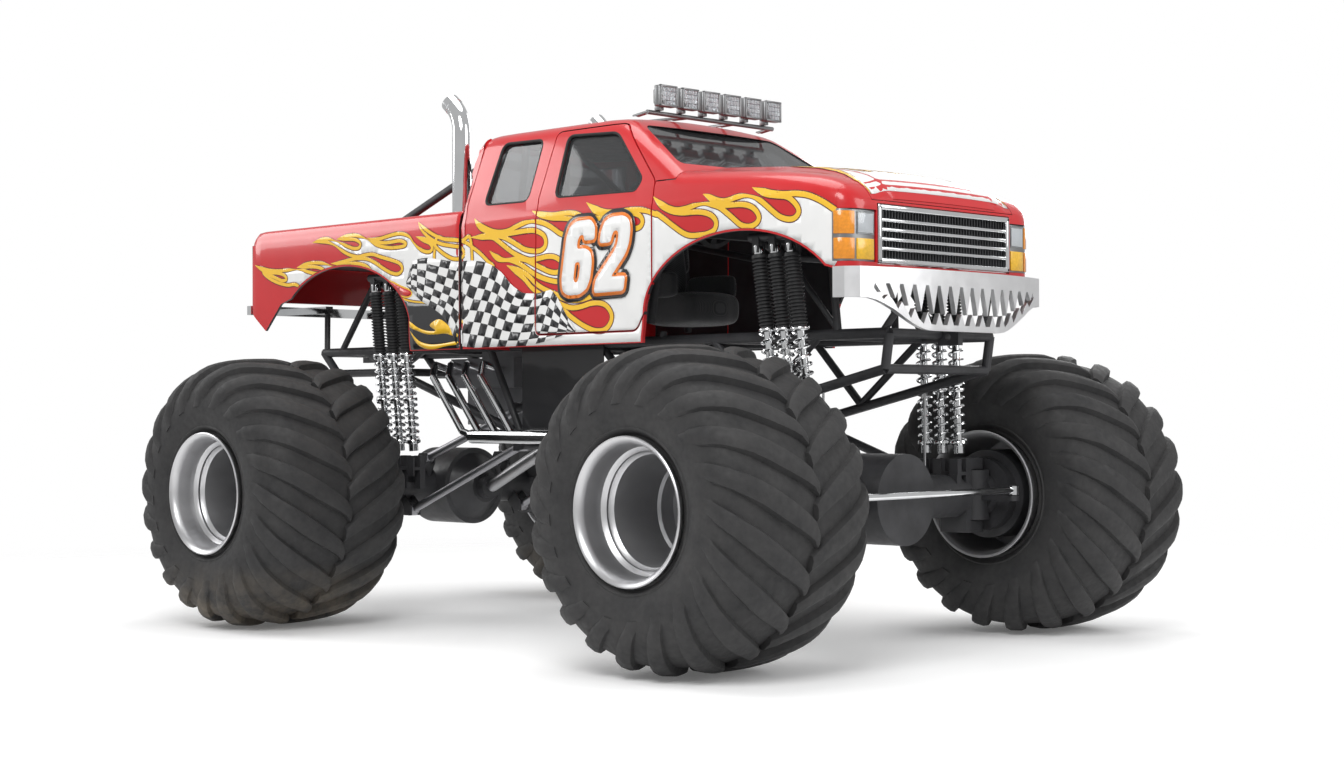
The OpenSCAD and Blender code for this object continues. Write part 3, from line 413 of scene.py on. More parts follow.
def moulded(name, colour, rough=0.55, scale=500.0):
    """Grained plastic."""
    f = Finish(name).put(IOR=1.46)
    f.to(f.ramp(f.noise(12.0, 4), [(0.3, colour), (0.75, shift(colour, 1.5))]), "Base Color")
    f.to(f.ramp(f.noise(40.0, 4), [(0.3, rough), (0.75, rough + 0.12)]), "Roughness")
    return f.bump(f.noise(scale, 3), 0.3, 0.0008).mat


def seat_cloth(name, colour=(0.035, 0.035, 0.038)):
    """Coarse woven cloth."""
    f = Finish(name).put(Sheen_Weight=0.35, Sheen_Roughness=0.5)
    w = f.nodes.new("ShaderNodeTexWave")
    w.inputs["Scale"].default_value = 160.0
    w.inputs["Distortion"].default_value = 1.5
    f.links.new(f.coord.outputs["Object"], w.inputs["Vector"])
    f.to(f.ramp(w.outputs["Fac"], [(0.2, shift(colour, 0.6)), (0.8, shift(colour, 1.7))]), "Base Color")
    f.to(f.ramp(f.noise(60.0, 4), [(0.3, 0.8), (0.7, 0.95)]), "Roughness")
    return f.bump(w.outputs["Fac"], 0.5, 0.001).mat


MAT = {}


def make_finishes(s):
    red, white = tuple(s.red), tuple(s.white)
    MAT.update(
        red=gloss_paint("red_paint", red),
        white=gloss_paint("white_paint", white),
        yellow=gloss_paint("flame_yellow", tuple(s.yellow)),
        orange=gloss_paint("number_orange", (0.80, 0.20, 0.02)),
        line=gloss_paint("pinstripe_dark", (0.10, 0.012, 0.02)),
        black=gloss_paint("check_black", (0.018, 0.018, 0.02)),
        frame_black=satin_black("frame_black"),
        axle_black=satin_black("axle_black", (0.028, 0.028, 0.03), 0.38),
        link_steel=metal("link_steel", (0.42, 0.42, 0.44), 0.36),
        chrome=metal("chrome", (0.86, 0.87, 0.88), 0.05, 0.05, None, 0.01),
        bare_steel=metal("bare_steel", (0.50, 0.50, 0.51), 0.30),
        cast_grey=metal("cast_grey", (0.24, 0.24, 0.25), 0.50, 0.14, None, 0.3),
        panel_black=gloss_paint("panel_black", (0.02, 0.02, 0.022), 0.3),
        tinted_glass=glass("tinted_glass", (0.30, 0.31, 0.32)),
        clear_glass=glass("clear_glass", (0.92, 0.95, 0.97), 0.03, 0.92),
        bumper_white=metal("bumper_bright", (0.93, 0.93, 0.94), 0.30, 0.1),
        lamp_grey=metal("lamp_grey", (0.30, 0.305, 0.31), 0.38),
        reflector=gloss_paint("lamp_reflector", (0.86, 0.88, 0.90), 0.16),
        amber=lens("amber_lens", (0.85, 0.30, 0.02)),
        gold=lens("yellow_lens", (0.90, 0.52, 0.03)),
        red_lens=lens("red_lens", (0.45, 0.012, 0.01)),
        seat_fabric=seat_cloth("seat_fabric"),
        dash_plastic=moulded("dash_plastic", (0.03, 0.03, 0.032)),
        boot_rubber=moulded("boot_rubber", (0.02, 0.02, 0.021), 0.5, 220.0),
        rim_aluminium=metal("rim_aluminium", (0.60, 0.60, 0.61), 0.34, 0.08, (1, 0.1, 1)),
        # a darker copy of the rim aluminium: painted shade for the barrel and centre deep in the dish
        barrel=metal("rim_barrel", (0.46, 0.46, 0.47), 0.50, 0.1),
        tyre=tyre_rubber("tyre"),
        tyre_dusty=tyre_rubber("tyre_dusty", 0.85),
        grille_dark=satin_black("grille_dark", (0.030, 0.031, 0.033), 0.4),
        seal=moulded("window_seal", (0.012, 0.012, 0.012), 0.6),
    )


# ---------------------------------------------------------------- body shell

# station along the truck, height of the roof or bonnet edge, crown, corner radius, half width
CAB_STATIONS = [
    (CAB_BACK + 0.018, 3.012, 0.030, 0.085, 0.852), (CAB_BACK + 0.03, 3.030, 0.034, 0.085, 0.852),
    (CAB_BACK + 0.06, 3.043, 0.036, 0.085, 0.852), (CAB_BACK + 0.11, 3.049, 0.036, 0.085, 0.852),
    (CAB_BACK + 0.25, 3.051, 0.036, 0.085, 0.852), (-0.10, 3.051, 0.036, 0.085, 0.852),
    (0.25, 3.051, 0.036, 0.085, 0.852), (0.50, 3.049, 0.036, 0.085, 0.852), (0.60, 3.044, 0.034, 0.085, 0.852),
    (0.66, 3.033, 0.032, 0.085, 0.852), (0.71, 3.012, 0.030, 0.080, 0.852), (0.76, 2.983, 0.030, 0.080, 0.852),
    (0.90, 2.895, 0.032, 0.075, 0.852), (1.05, 2.798, 0.034, 0.070, 0.852), (1.17, 2.718, 0.036, 0.066, 0.852),
    (1.215, 2.686, 0.040, 0.066, 0.852), (1.24, 2.673, 0.042, 0.070, 0.852), (1.30, 2.664, 0.044, 0.074, 0.852),
    (1.50, 2.651, 0.044, 0.080, 0.852), (1.75, 2.633, 0.044, 0.085, 0.852), (2.00, 2.607, 0.044, 0.088, 0.852),
    (2.15, 2.586, 0.043, 0.090, 0.852), (2.26, 2.566, 0.040, 0.090, 0.850), (2.34, 2.544, 0.036, 0.090, 0.844),
    (2.40, 2.519, 0.030, 0.085, 0.832), (2.44, 2.493, 0.024, 0.075, 0.814), (2.468, 2.465, 0.018, 0.065, 0.786),
    (2.486, 2.440, 0.014, 0.055, 0.748), (2.494, 2.424, 0.012, 0.050, 0.715)]
SIDE_PROFILE = [
    (1.50, 0.838), (1.88, 0.851), (2.10, 0.852), (2.485, 0.852), (2.53, 0.841), (2.60, 0.830), (3.20, 0.602)]


def side_y(z, half=0.852):
    """Half width of the body's side at a height."""
    for (z0, y0), (z1, y1) in zip(SIDE_PROFILE, SIDE_PROFILE[1:]):
        if z <= z1:
            y = y0 + (y1 - y0) * (z - z0) / (z1 - z0)
            break
    return y * half / 0.852


def cab_station(x):
    """Edge height, crown, radius and half width at a place along the cab, between the stations."""
    s = CAB_STATIONS
    i = max(0, min(len(s) - 2, next((k for k in range(len(s) - 1) if x <= s[k + 1][0]), len(s) - 2)))
    a, b = s[i], s[i + 1]
    t = min(1.0, max(0.0, (x - a[0]) / (b[0] - a[0])))
    return tuple(a[k] + (b[k] - a[k]) * t for k in range(1, 5))


def cab_section(x, bulge=0.0):
    """Half section of the cab or bonnet, from the sill to the middle of the top."""
    edge, crown, r, half = cab_station(x)
    levels = [SILL_Z + (2.485 - SILL_Z) * k / 6 for k in range(7)] + [2.507, 2.53, 2.60]
    turn = edge - r
    levels = [min(z, turn) for z in levels] + [2.60 + (turn - 2.60) * k / 5 if turn > 2.60 else turn for k in range(1,
            6)]
    pts = [(side_y(z, half), z) for z in levels]
    corner = Vector((side_y(edge, half), edge))
    a = Vector(pts[-1])
    b = Vector((corner.x - r * 1.25, edge + crown * 0.25))
    pts += [tuple(a * (1 - t) ** 2 + corner * 2 * t * (1 - t) + b * t * t) for t in (k / 7 for k in range(1, 8))]
    for k in range(1, 13):
        u = 1 - k / 12
        y = b.x * u
        z = edge + crown * (1 - 0.75 * u ** 2)
        step = max(0.0, min(1.0, (0.56 - y) / 0.05))
        z += bulge * step * step * (3 - 2 * step)
        pts.append((y, z))
    return pts


def bed_section():
    """Half section of the bed, from the outside lower edge over the rail to the middle of the floor."""
    levels = [SILL_Z + (2.485 - SILL_Z) * k / 6 for k in range(7)] + [2.507, 2.53, 2.548]
    pts = [(side_y(z), z) for z in levels]
    top = BED_TOP - 0.001
    pts += [(0.828, 2.564), (0.820, 2.573), (0.808, top - 0.001), (0.796, top), (0.784, top - 0.001), (0.774, 2.574),
            (0.770, 2.566)]
    pts += [(0.768, 2.545), (0.768, 2.40), (0.762, 2.372), (0.748, 2.364), (0.60, 2.364), (0.30, 2.364), (0.0, 2.364)]
    return pts


def shell(name, stations, section, thick, cap_back, cap_front):
    """Skins a row of sections, closes the ends that are asked for and gives the skin its thickness."""
    rows = [section(x) for x in stations]
    n = len(rows[0])
    bm = bmesh.new()
    bmesh.ops.create_grid(bm, x_segments=len(rows) - 1, y_segments=2 * n - 2, size=1)
    bm.verts.ensure_lookup_table()
    for v in bm.verts:
        i = round((v.co.x + 1) / 2 * (len(rows) - 1))
        j = round((v.co.y + 1) / 2 * (2 * n - 2))
        y, z = rows[i][j] if j < n else rows[i][2 * n - 2 - j]
        v.co = (stations[i], y if j < n else -y, z)
    for want, x in ((cap_back, stations[0]), (cap_front, stations[-1])):
        if want:
            ring = [e for e in bm.edges if e.is_boundary and all(abs(v.co.x - x) < 1e-6 for v in e.verts)]
            bmesh.ops.contextual_create(bm, geom=ring)
            upper = [e for e in ring if e.is_valid and sum(v.co.z for v in e.verts) / 2 > SILL_Z + 0.05]
            bmesh.ops.bevel(bm, geom=upper, offset=0.02, segments=3, affect="EDGES", profile=0.5, material=-1)
    tidy(bm, 1e-4)
    if sum(f.normal.z * f.calc_area() for f in bm.faces if abs(f.normal.z) > 0.7) < 0:
        bmesh.ops.reverse_faces(bm, faces=bm.faces)
    ob = finish_object(name, bm, smooth=0)
    mod = ob.modifiers.new("skin", "SOLIDIFY")
    mod.thickness, mod.offset, mod.use_even_offset = thick, -1, False
    return settle(ob)


def ellipse(c, rx, rz, a0, a1, n):
    return [(c[0] + rx * math.cos(math.radians(a0 + (a1 - a0) * k / n)),
             c[1] + rz * math.sin(math.radians(a0 + (a1 - a0) * k / n))) for k in range(n + 1)]


FRONT_ARCH = [(2.62, 1.60), (2.62, 2.073), (2.40, 2.073)] + ellipse((FRONT_AXLE_X - 0.300, SILL_Z + 0.150), 0.71,
        0.437, 30, 174, 28) \
    + [(FRONT_AXLE_X - 1.017, SILL_Z + 0.085), (FRONT_AXLE_X - 1.028, SILL_Z + 0.03), (FRONT_AXLE_X - 1.033, 1.60)]
REAR_ARCH = [(REAR_AXLE_X + 0.60, 1.60), (REAR_AXLE_X + 0.578, SILL_Z + 0.06)] \
    + ellipse((REAR_AXLE_X - 0.110, SILL_Z + 0.130), 0.70, 0.44, 10, 145, 26) \
    + [(REAR_AXLE_X - 0.80, SILL_Z + 0.349), (REAR_AXLE_X - 0.98, SILL_Z + 0.172), (REAR_AXLE_X - 0.98, 1.60)]
DOOR = [(0.110, 1.790), (0.960, 1.790), (1.085, 1.990), (1.085, 2.632), (0.692, 3.013), (0.120, 3.013)]
DOOR_WINDOW = [(0.254, 2.594), (0.943, 2.582), (0.973, 2.652), (0.655, 2.958), (0.222, 2.978)]
QUARTER_WINDOW = [(-0.382, 2.593), (0.023, 2.589), (0.012, 2.974), (-0.363, 2.982)]
BONNET_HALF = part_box("bonnet")[1][1]
COWL_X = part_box("bonnet")[0][0] + 0.004


def grow(outline, d):
    """An outline moved outwards by d, or inwards when d is negative."""
    area = sum(a[0] * b[1] - b[0] * a[1] for a, b in zip(outline, outline[1:] + outline[:1]))
    s = 1 if area > 0 else -1
    out = []
    n = len(outline)
    for i in range(n):
        a, b, c = (Vector(outline[(i + k) % n]) for k in (-1, 0, 1))
        e1, e2 = (b - a).normalized(), (c - b).normalized()
        n1, n2 = Vector((e1.y, -e1.x)), Vector((e2.y, -e2.x))
        m = (n1 + n2)
        k = m.length_squared
        m = m * (2 / k) if k > 0.3 else n1
        out.append(tuple(b + m * d * s))
    return out


def both(outline, half):
    """Prisms on both sides of the body, from |y| = half outwards."""
    return prism(outline, "y", half, FAR), prism(outline, "y", -FAR, -half)


def rect(x0, x1, z0, z1):
    """Corners of an upright rectangle."""
    return [(x0, z0), (x1, z0), (x1, z1), (x0, z1)]


def surface_of(ob):
    """A tree of an object's faces, to lay paint on."""
    bm = bmesh.new()
    bm.from_mesh(ob.data)
    tree = BVHTree.FromBMesh(bm)
    bm.free()
    return tree


def cab_stations():
    xs = [s[0] for s in CAB_STATIONS]
    extra = []
    for a, b in zip(xs, xs[1:]):
        n = max(1, round((b - a) / 0.06))
        extra += [a + (b - a) * k / n for k in range(n)]
    return extra + [xs[-1]]


SURFACE = {}


def build_cab():
    """The cab, bonnet, fenders, doors and nose, parted from one smooth shell."""
    whole = shell("body_master", cab_stations(), lambda x: cab_section(x, 0.022 if x > 1.24 else 0.0), SKIN, True, True)
    SURFACE["cab"] = surface_of(whole)
    boolean(whole, prism(FRONT_ARCH, "y", -FAR, FAR))
    # windows
    for o in (DOOR_WINDOW, QUARTER_WINDOW):
        for tool in both(rounded(o, WINDOW_CORNER, 6), 0.4):
            boolean(whole, tool)
    screen = [(-0.70, 2.735), (0.70, 2.735), (0.562, 3.006), (-0.562, 3.006)]
    boolean(whole, prism(rounded(screen, 0.05, 6), "x", 0.62, 1.30))
    rear = [(-0.60, 2.67), (0.60, 2.67), (0.52, 2.964), (-0.52, 2.964)]
    boolean(whole, prism(rounded(rear, 0.05, 6), "x", CAB_BACK - 0.1, CAB_BACK + 0.2))
    # grille and lamp openings in the nose
    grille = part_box("grille")
    opening = rect(-0.590, 0.590, grille[0][2] - PANEL_CUT, grille[1][2] + PANEL_CUT)
    boolean(whole, prism(opening, "x", NOSE_X - 0.10, NOSE_X + 0.2))
    for s in (1, -1):
        boolean(whole, prism(rect(s * 0.596, s * 0.90, 2.110, 2.385), "x", 2.385, NOSE_X + 0.2))
    pieces = {}
    for side, s in SIDES:
        d = copy_of(whole, "door_skin_" + side)
        boolean(d, prism(rounded(grow(DOOR, -PANEL_CUT), 0.035), "y", *sorted((0.45 * s, FAR * s))), "INTERSECT")
        pieces["door_" + side] = d
        f = copy_of(whole, "fender_skin_" + side)
        zone = [(1.0895, 1.60), (NOSE_X - 0.088, 1.60), (NOSE_X - 0.088, 3.0), (COWL_X, 3.0), (COWL_X, 2.627),
                (1.0895, 2.627)]
        boolean(f, prism(zone, "y", *sorted(((BONNET_HALF + PANEL_CUT) * s, FAR * s))), "INTERSECT")
        pieces["fender_" + side] = f
    b = copy_of(whole, "bonnet_skin")
    boolean(b, prism(rect(COWL_X + 0.010, NOSE_X + 0.1, 2.30, 3.0), "y", -BONNET_HALF, BONNET_HALF), "INTERSECT")
    boolean(b, prism(rect(NOSE_X - 0.09, NOSE_X + 0.2, 1.6, 2.440), "y", -FAR, FAR))
    pieces["bonnet"] = b
    n = copy_of(whole, "nose_skin")
    boolean(n, prism(rect(NOSE_X - 0.087, NOSE_X + 0.1, 1.60, 3.0), "y", -FAR, FAR), "INTERSECT")
    boolean(n, prism(rect(NOSE_X - 0.2, NOSE_X + 0.2, 2.436, 3.0), "y", -BONNET_HALF - PANEL_CUT,
                     BONNET_HALF + PANEL_CUT))
    pieces["nose_panel"] = n
    # what is left is the cab
    for tool in both(rounded(grow(DOOR, PANEL_CUT), 0.043), 0.45):
        boolean(whole, tool)
    back = COWL_X - PANEL_CUT
    zone = [(1.083, 1.60), (3.0, 1.60), (3.0, 3.2), (back, 3.2), (back, 2.634), (1.083, 2.634)]
    for tool in both(zone, BONNET_HALF - PANEL_CUT):
        boolean(whole, tool)
    boolean(whole, prism(rect(COWL_X, 3.0, 1.60, 3.2), "y", -FAR, FAR))
    whole.name = "cab_skin"
    pieces["cab_shell"] = whole
    return pieces


def build_bed():
    """The bed's sides, rails and floor from one skin, with the arches and the tailgate's place cut out."""
    long = BED_FRONT - BED_BACK - 0.09
    xs = [BED_BACK + d for d in (0.004, 0.010, 0.03)] + [BED_BACK + 0.06 + long * k / 34 for k in range(35)]
    xs += [BED_FRONT - 0.012, BED_FRONT - 0.002]

    def section(x):
        fall = max(0.0, 1 - (x - BED_BACK) / 0.09)
        fore = max(0.0, 1 - (BED_FRONT - x) / 0.02)
        drop = 0.055 * fall ** 2 + 0.006 * fore ** 2
        tuck = 0.010 * fall ** 3 + 0.006 * fore ** 2
        return [(y - (tuck if y > 0.79 else 0), z - (drop if z > 2.5 else 0)) for y, z in bed_section()]
    ob = shell("bed_skin", xs, section, 0.018, False, False)
    SURFACE["bed"] = surface_of(ob)
    boolean(ob, prism(REAR_ARCH, "y", -FAR, FAR))
    # tail of the side, tapering under the lamp
    tail = [(-0.1, 1.5), (-0.1, 2.02), (0.002, 2.02), (0.17, 1.893), (0.40, 1.86), (0.40, 1.5)]
    boolean(ob, prism([(BED_BACK + x, z) for x, z in tail], "y", -FAR, FAR))
    lo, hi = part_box("tailgate")
    gap = 0.006
    boolean(ob, prism(rect(lo[1] - gap, hi[1] + gap, lo[2] - gap, 3.0), "x", BED_BACK - 0.1, hi[0] + 0.008))
    return ob


def line_inside(ob):
    """Dark lining on every face of a panel that looks into the truck or down."""
    for p in ob.data.polygons:
        inward = p.normal.y * (1 if p.center.y > 0 else -1)
        if abs(p.center.y) > 0.3 and inward < -0.3 or p.normal.z < -0.45:
            p.material_index = 1


# ---------------------------------------------------------------- wheels

# half of the carcass outside, as (distance from the tyre's middle, radius)
CARCASS = [
    (0.0, 0.793), (0.10, 0.792), (0.20, 0.788), (0.30, 0.778), (0.37, 0.762), (0.43, 0.733), (0.475, 0.692),
    (0.503, 0.640), (0.518, 0.580), (0.522, 0.530), (0.516, 0.480), (0.505, 0.440), (0.495, 0.420), (0.499, 0.412),
    (0.495, 0.404), (0.478, 0.394), (0.468, 0.380), (0.470, 0.366), (0.455, 0.352)]


def carcass_at(s):
    """Point on the carcass a distance s along it from the crown, with the outward normal."""
    left = s
    for a, b in zip(CARCASS, CARCASS[1:]):
        d = Vector(b) - Vector(a)
        if left <= d.length:
            break
        left -= d.length
    p = Vector(a) + d.normalized() * min(left, d.length)
    n = Vector((-d.y, d.x)).normalized()
    return p, n


def build_tyre(name, axle_x, side, material, steps, lugs):
    """A carcass with curved chevron lugs, round an axle parallel to Y."""
    mid = (WHEEL_IN + WHEEL_OUT) / 2 * side
    origin = Vector((axle_x, mid, HUB_Z))
    inner = [(0.44, 0.352), (0.43, 0.40), (0.44, 0.60), (0.36, 0.70), (0.0, 0.73)]
    ring = [(r, y) for y, r in CARCASS]
    half = [(r, -y) for y, r in reversed(CARCASS[1:])] + ring
    profile = half + [(r, y) for y, r in inner] + [(r, -y) for y, r in reversed(inner[:-1])]
    bm = bmesh.new()
    verts = [bm.verts.new(origin + Vector((0, d, r))) for r, d in profile]
    edges = [bm.edges.new((verts[i], verts[(i + 1) % len(verts)])) for i in range(len(verts))]
    bmesh.ops.spin(bm, geom=verts + edges, cent=origin, axis=(0, 1, 0), angle=math.tau, steps=steps, use_merge=True)
    bmesh.ops.recalc_face_normals(bm, faces=bm.faces)
    # one lug, then the rest turned from it
    lug = bmesh.new()
    bmesh.ops.create_cube(lug, size=1)
    for axis, cuts in ((0, 15), (1, 3)):
        es = [e for e in lug.edges if abs((e.verts[0].co - e.verts[1].co).normalized()[axis]) > 0.9]
        bmesh.ops.subdivide_edges(lug, edges=es, cuts=cuts, use_grid_fill=True)
    start, reach = -0.012, 0.665
    for v in lug.verts:
        s, w, up = v.co.x + 0.5, v.co.y, v.co.z > 0
        d = start + (reach - start) * s
        p, n = carcass_at(max(0.0, d))
        if d < 0:
            p = Vector((d, p.y))
        wide = 0.052 + 0.026 * math.sin(math.pi * min(1.0, s * 1.05)) if s < 0.75 else 0.070 - 0.05 * (s - 0.75)
        tall = 0.043 * (1 - 0.62 * max(0.0, (s - 0.52) / 0.48) ** 1.2)
        if s < 0.06:
            tall *= 0.7 + 5 * s
        if s > 0.93:
            tall *= 0.35
        lean = abs(w) * 2
        edge = 1.0 if not up else 0.80 if lean > 0.9 else 0.86
        depth = (tall - (0.009 if lean > 0.9 else 0.0)) if up else -0.012
        q = p + n * depth
        sweep = math.radians(-6 * s - 27 * s ** 0.72 + 4 * math.sin(math.pi * s))
        across = (w * 2) * wide * edge / q.y * (1 - 0.10 * s)
        ang = sweep + across
        v.co = Vector((math.sin(ang) * q.y, q.x, math.cos(ang) * q.y))
    me = bpy.data.meshes.new("lug")
    lug.to_mesh(me)
    lug.free()
    for k in range(lugs):
        for hand in (1, -1):
            start = len(bm.verts)
            bm.from_mesh(me)
            bm.verts.ensure_lookup_table()
            new = bm.verts[start:]
            turn = math.tau * (k + (0.5 if hand < 0 else 0.0)) / lugs
            m = Matrix.Translation(origin) @ Matrix.Rotation(turn, 4, "Y") @ Matrix.Diagonal((1, hand, 1, 1))
            bmesh.ops.transform(bm, matrix=m, verts=new)
            if hand < 0:
                bmesh.ops.reverse_faces(bm, faces=list({f for v in new for f in v.link_faces}))
    bpy.data.meshes.remove(me)
    return finish_object(name, bm, material, 34)


RIM = [
    (0.130, 1.400), (0.165, 1.400), (0.180, 1.372), (0.268, 1.380), (0.274, 1.402), (0.274, 1.448), (0.262, 1.462),
    (0.262, 1.478), (0.276, 1.492), (0.279, 1.760), (0.283, 1.795), (0.296, 1.806), (0.302, 1.818), (0.300, 1.832),
    (0.308, 1.842), (0.322, 1.852), (0.330, 1.880), (0.336, 1.950), (0.342, 1.972), (0.350, 1.984), (0.360, 1.994),
    (0.370, 1.999), (0.376, 1.994), (0.3775, 1.985), (0.3745, 1.976), (0.362, 1.970), (0.352, 1.960), (0.350, 1.930),
    (0.350, 0.990), (0.352, 0.955), (0.362, 0.948), (0.374, 0.942), (0.3765, 0.934), (0.372, 0.928), (0.362, 0.930),
    (0.348, 0.945), (0.338, 0.975), (0.334, 1.08), (0.334, 1.34), (0.180, 1.352), (0.160, 1.345), (0.130, 1.345)]


def build_rim(name, axle_x, side):
    """A deep-dish rim with its bolted centre: bright aluminium on the lip, and a darker copy of the same aluminium on
    the barrel and centre as painted shade.
    """
    bm = bmesh.new()
    origin = Vector((axle_x, 0, HUB_Z))
    verts = [bm.verts.new(origin + Vector((0, d * side, r))) for r, d in RIM]
    edges = [bm.edges.new((verts[i], verts[(i + 1) % len(verts)])) for i in range(len(verts))]
    bmesh.ops.spin(bm, geom=verts + edges, cent=origin, axis=(0, 1, 0), angle=math.tau, steps=72, use_merge=True)
    tidy(bm)
    # the barrel and the bolted centre, deep in the dish, take the darker copy of the aluminium: painted shade
    for f in bm.faces:
        c = f.calc_center_median()
        r, d = math.hypot(c.x - axle_x, c.z - HUB_Z), abs(c.y)
        if d < 1.80 and r < 0.29 or d < 1.37:
            f.material_index = 1
    for count, phase, ring, out, size, depth in ((24, 0, 0.225, 1.382, 0.012, 0.022),
                                                 (12, 0.5, 0.150, 1.405, 0.009, 0.026)):
        for k in range(count):
            a = math.tau * (k + phase) / count
            c = Vector((axle_x + ring * math.cos(a), out * side, HUB_Z + ring * math.sin(a)))
            bmesh.ops.create_cone(bm, cap_ends=True, segments=6, radius1=size, radius2=size - 0.001, depth=depth,
                                  matrix=Matrix.Translation(c) @ Matrix.Rotation(math.pi / 2, 4, "X"))
    ob = finish_object(name, bm, MAT["rim_aluminium"], 32)
    ob.data.materials.append(MAT["barrel"])
    return ob


# ---------------------------------------------------------------- springs

def build_shocks(name, node, foot_shift):
    """Six coil-over shock absorbers: a ribbed boot above, bright coils and a shaft below."""
    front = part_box(node)[0][0] > 0
    top_z = 2.215 if front else 2.150
    first, pitch = (1.825, -0.118) if front else (-1.785, 0.138)
    tops = [first + pitch * i + 0.18 for i in range(3)]
    boots, coils, steels = [], [], []
    for side in (1, -1):
        for t in tops:
            a = Vector((t, 0.715 * side, top_z))
            b = Vector((t + foot_shift, 0.640 * side, 1.028))
            d = (b - a).normalized()
            bm = bmesh.new()
            prof = [(0.020, 0.030), (0.040, 0.032)]
            n = 20
            for k in range(n):
                z = 0.045 + 0.385 * k / n
                prof += [(0.044, z), (0.044, z + 0.006), (0.034, z + 0.012), (0.034, z + 0.016)]
            prof += [(0.040, 0.438), (0.020, 0.440)]
            lathe(bm, [(0.0, 0.028)] + prof + [(0.0, 0.442)], a, d, 20)
            tidy(bm)
            boots.append(finish_object("boot", bm, MAT["boot_rubber"], 50))
            length = (b - a).length
            bm = bmesh.new()
            lathe(bm, [(0.0, -0.020), (0.028, -0.020), (0.030, -0.012), (0.030, 0.028), (0.0, 0.028)], a, d, 20)
            lathe(bm, [(0.0, 0.436), (0.047, 0.436), (0.049, 0.441), (0.049, 0.450), (0.047, 0.455), (0.0, 0.455)], a,
                  d, 24)
            lathe(bm, [(0.0, 0.45), (0.022, 0.45), (0.022, length - 0.10), (0.0, length - 0.10)], a, d, 20)
            lathe(bm, [(0.0, length - 0.128), (0.046, length - 0.128), (0.049, length - 0.122), (0.049, length - 0.108),
                       (0.030, length - 0.10), (0.030, length - 0.055), (0.0, length - 0.055)], a, d, 24)
            mid = 0.455 + (length - 0.128 - 0.455) * 0.52
            collar = [(0.0, -0.010), (0.046, -0.010), (0.048, -0.006), (0.048, 0.006), (0.046, 0.010), (0.0, 0.010)]
            lathe(bm, [(r, mid + z) for r, z in collar], a, d, 24)
            tidy(bm)
            steels.append(finish_object("damper", bm, MAT["chrome"], 40))
            u = d.orthogonal().normalized()
            w = d.cross(u)
            for lo_t, hi_t, turns in ((0.461, mid - 0.015, 6.0), (mid + 0.015, length - 0.134, 5.5)):
                path = []
                steps = int(turns * 16)
                for k in range(steps + 1):
                    q = k / steps
                    ang = math.tau * turns * q
                    out = (u * math.cos(ang) + w * math.sin(ang)) * 0.0395
                    path.append(tuple(a + d * (lo_t + (hi_t - lo_t) * q) + out))
                coils.append(tube("coil", path, 0.0078, MAT["chrome"], sides=1))
    return join(name, steels + coils + boots)


# ---------------------------------------------------------------- carried-over pieces

def clean_copy(node, material):
    """A merged, smoothly shaded copy of a CAD node."""
    bm = bmesh.new()
    src = frame["nodes"][node]
    bm.from_mesh(src.data)
    bmesh.ops.transform(bm, matrix=src.matrix_world, verts=bm.verts)
    bmesh.ops.remove_doubles(bm, verts=bm.verts, dist=2e-5)
    ob = finish_object("fine_" + node, bm, material, 32)
    return place(ob, BODY_OF[node], [node])


# ---------------------------------------------------------------- lamps, grille and seat

def border(bm, lo, hi, wide, bevel, segments=2):
    """Four bars round a rectangle that faces along X."""
    (x0, y0, z0), (x1, y1, z1) = lo, hi
    for a, b in (((y0, z0), (y1, z0 + wide)), ((y0, z1 - wide), (y1, z1)), ((y0, z0), (y0 + wide, z1)),
                 ((y1 - wide, z0), (y1, z1))):
        box_bm(bm, (x0, *a), (x1, *b), bevel, segments)


def build_grille():
    """Bright frame with four bars over a dark ribbed backing."""
    lo, hi = (Vector(c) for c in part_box("grille"))
    x = NOSE_X + 0.004
    bm = bmesh.new()
    t = 0.030
    border(bm, lo, (x, hi.y, hi.z), t, 0.009, 3)
    inner = (hi.z - lo.z - 2 * t)
    for k in range(1, 5):
        z = lo.z + t + inner * k / 5
        box_bm(bm, (lo.x + 0.010, lo.y + 0.012, z - 0.0095), (x - 0.010, hi.y - 0.012, z + 0.0095), 0.007, 3)
    frame_ob = finish_object("grille_frame", bm, MAT["chrome"], 40)
    bm = bmesh.new()
    n = 44
    for k in range(n):
        y = lo.y + t + (hi.y - lo.y - 2 * t) * (k + 0.5) / n
        box_bm(bm, (lo.x + 0.012, y - 0.0035, lo.z + 0.02), (lo.x + 0.036, y + 0.0035, hi.z - 0.02))
    box_bm(bm, (lo.x + 0.002, lo.y + 0.015, lo.z + 0.015), (lo.x + 0.014, hi.y - 0.015, hi.z - 0.015), 0.002)
    back = finish_object("grille_back", bm, MAT["grille_dark"], 40)
    return join("grille_bars", [frame_ob, back])


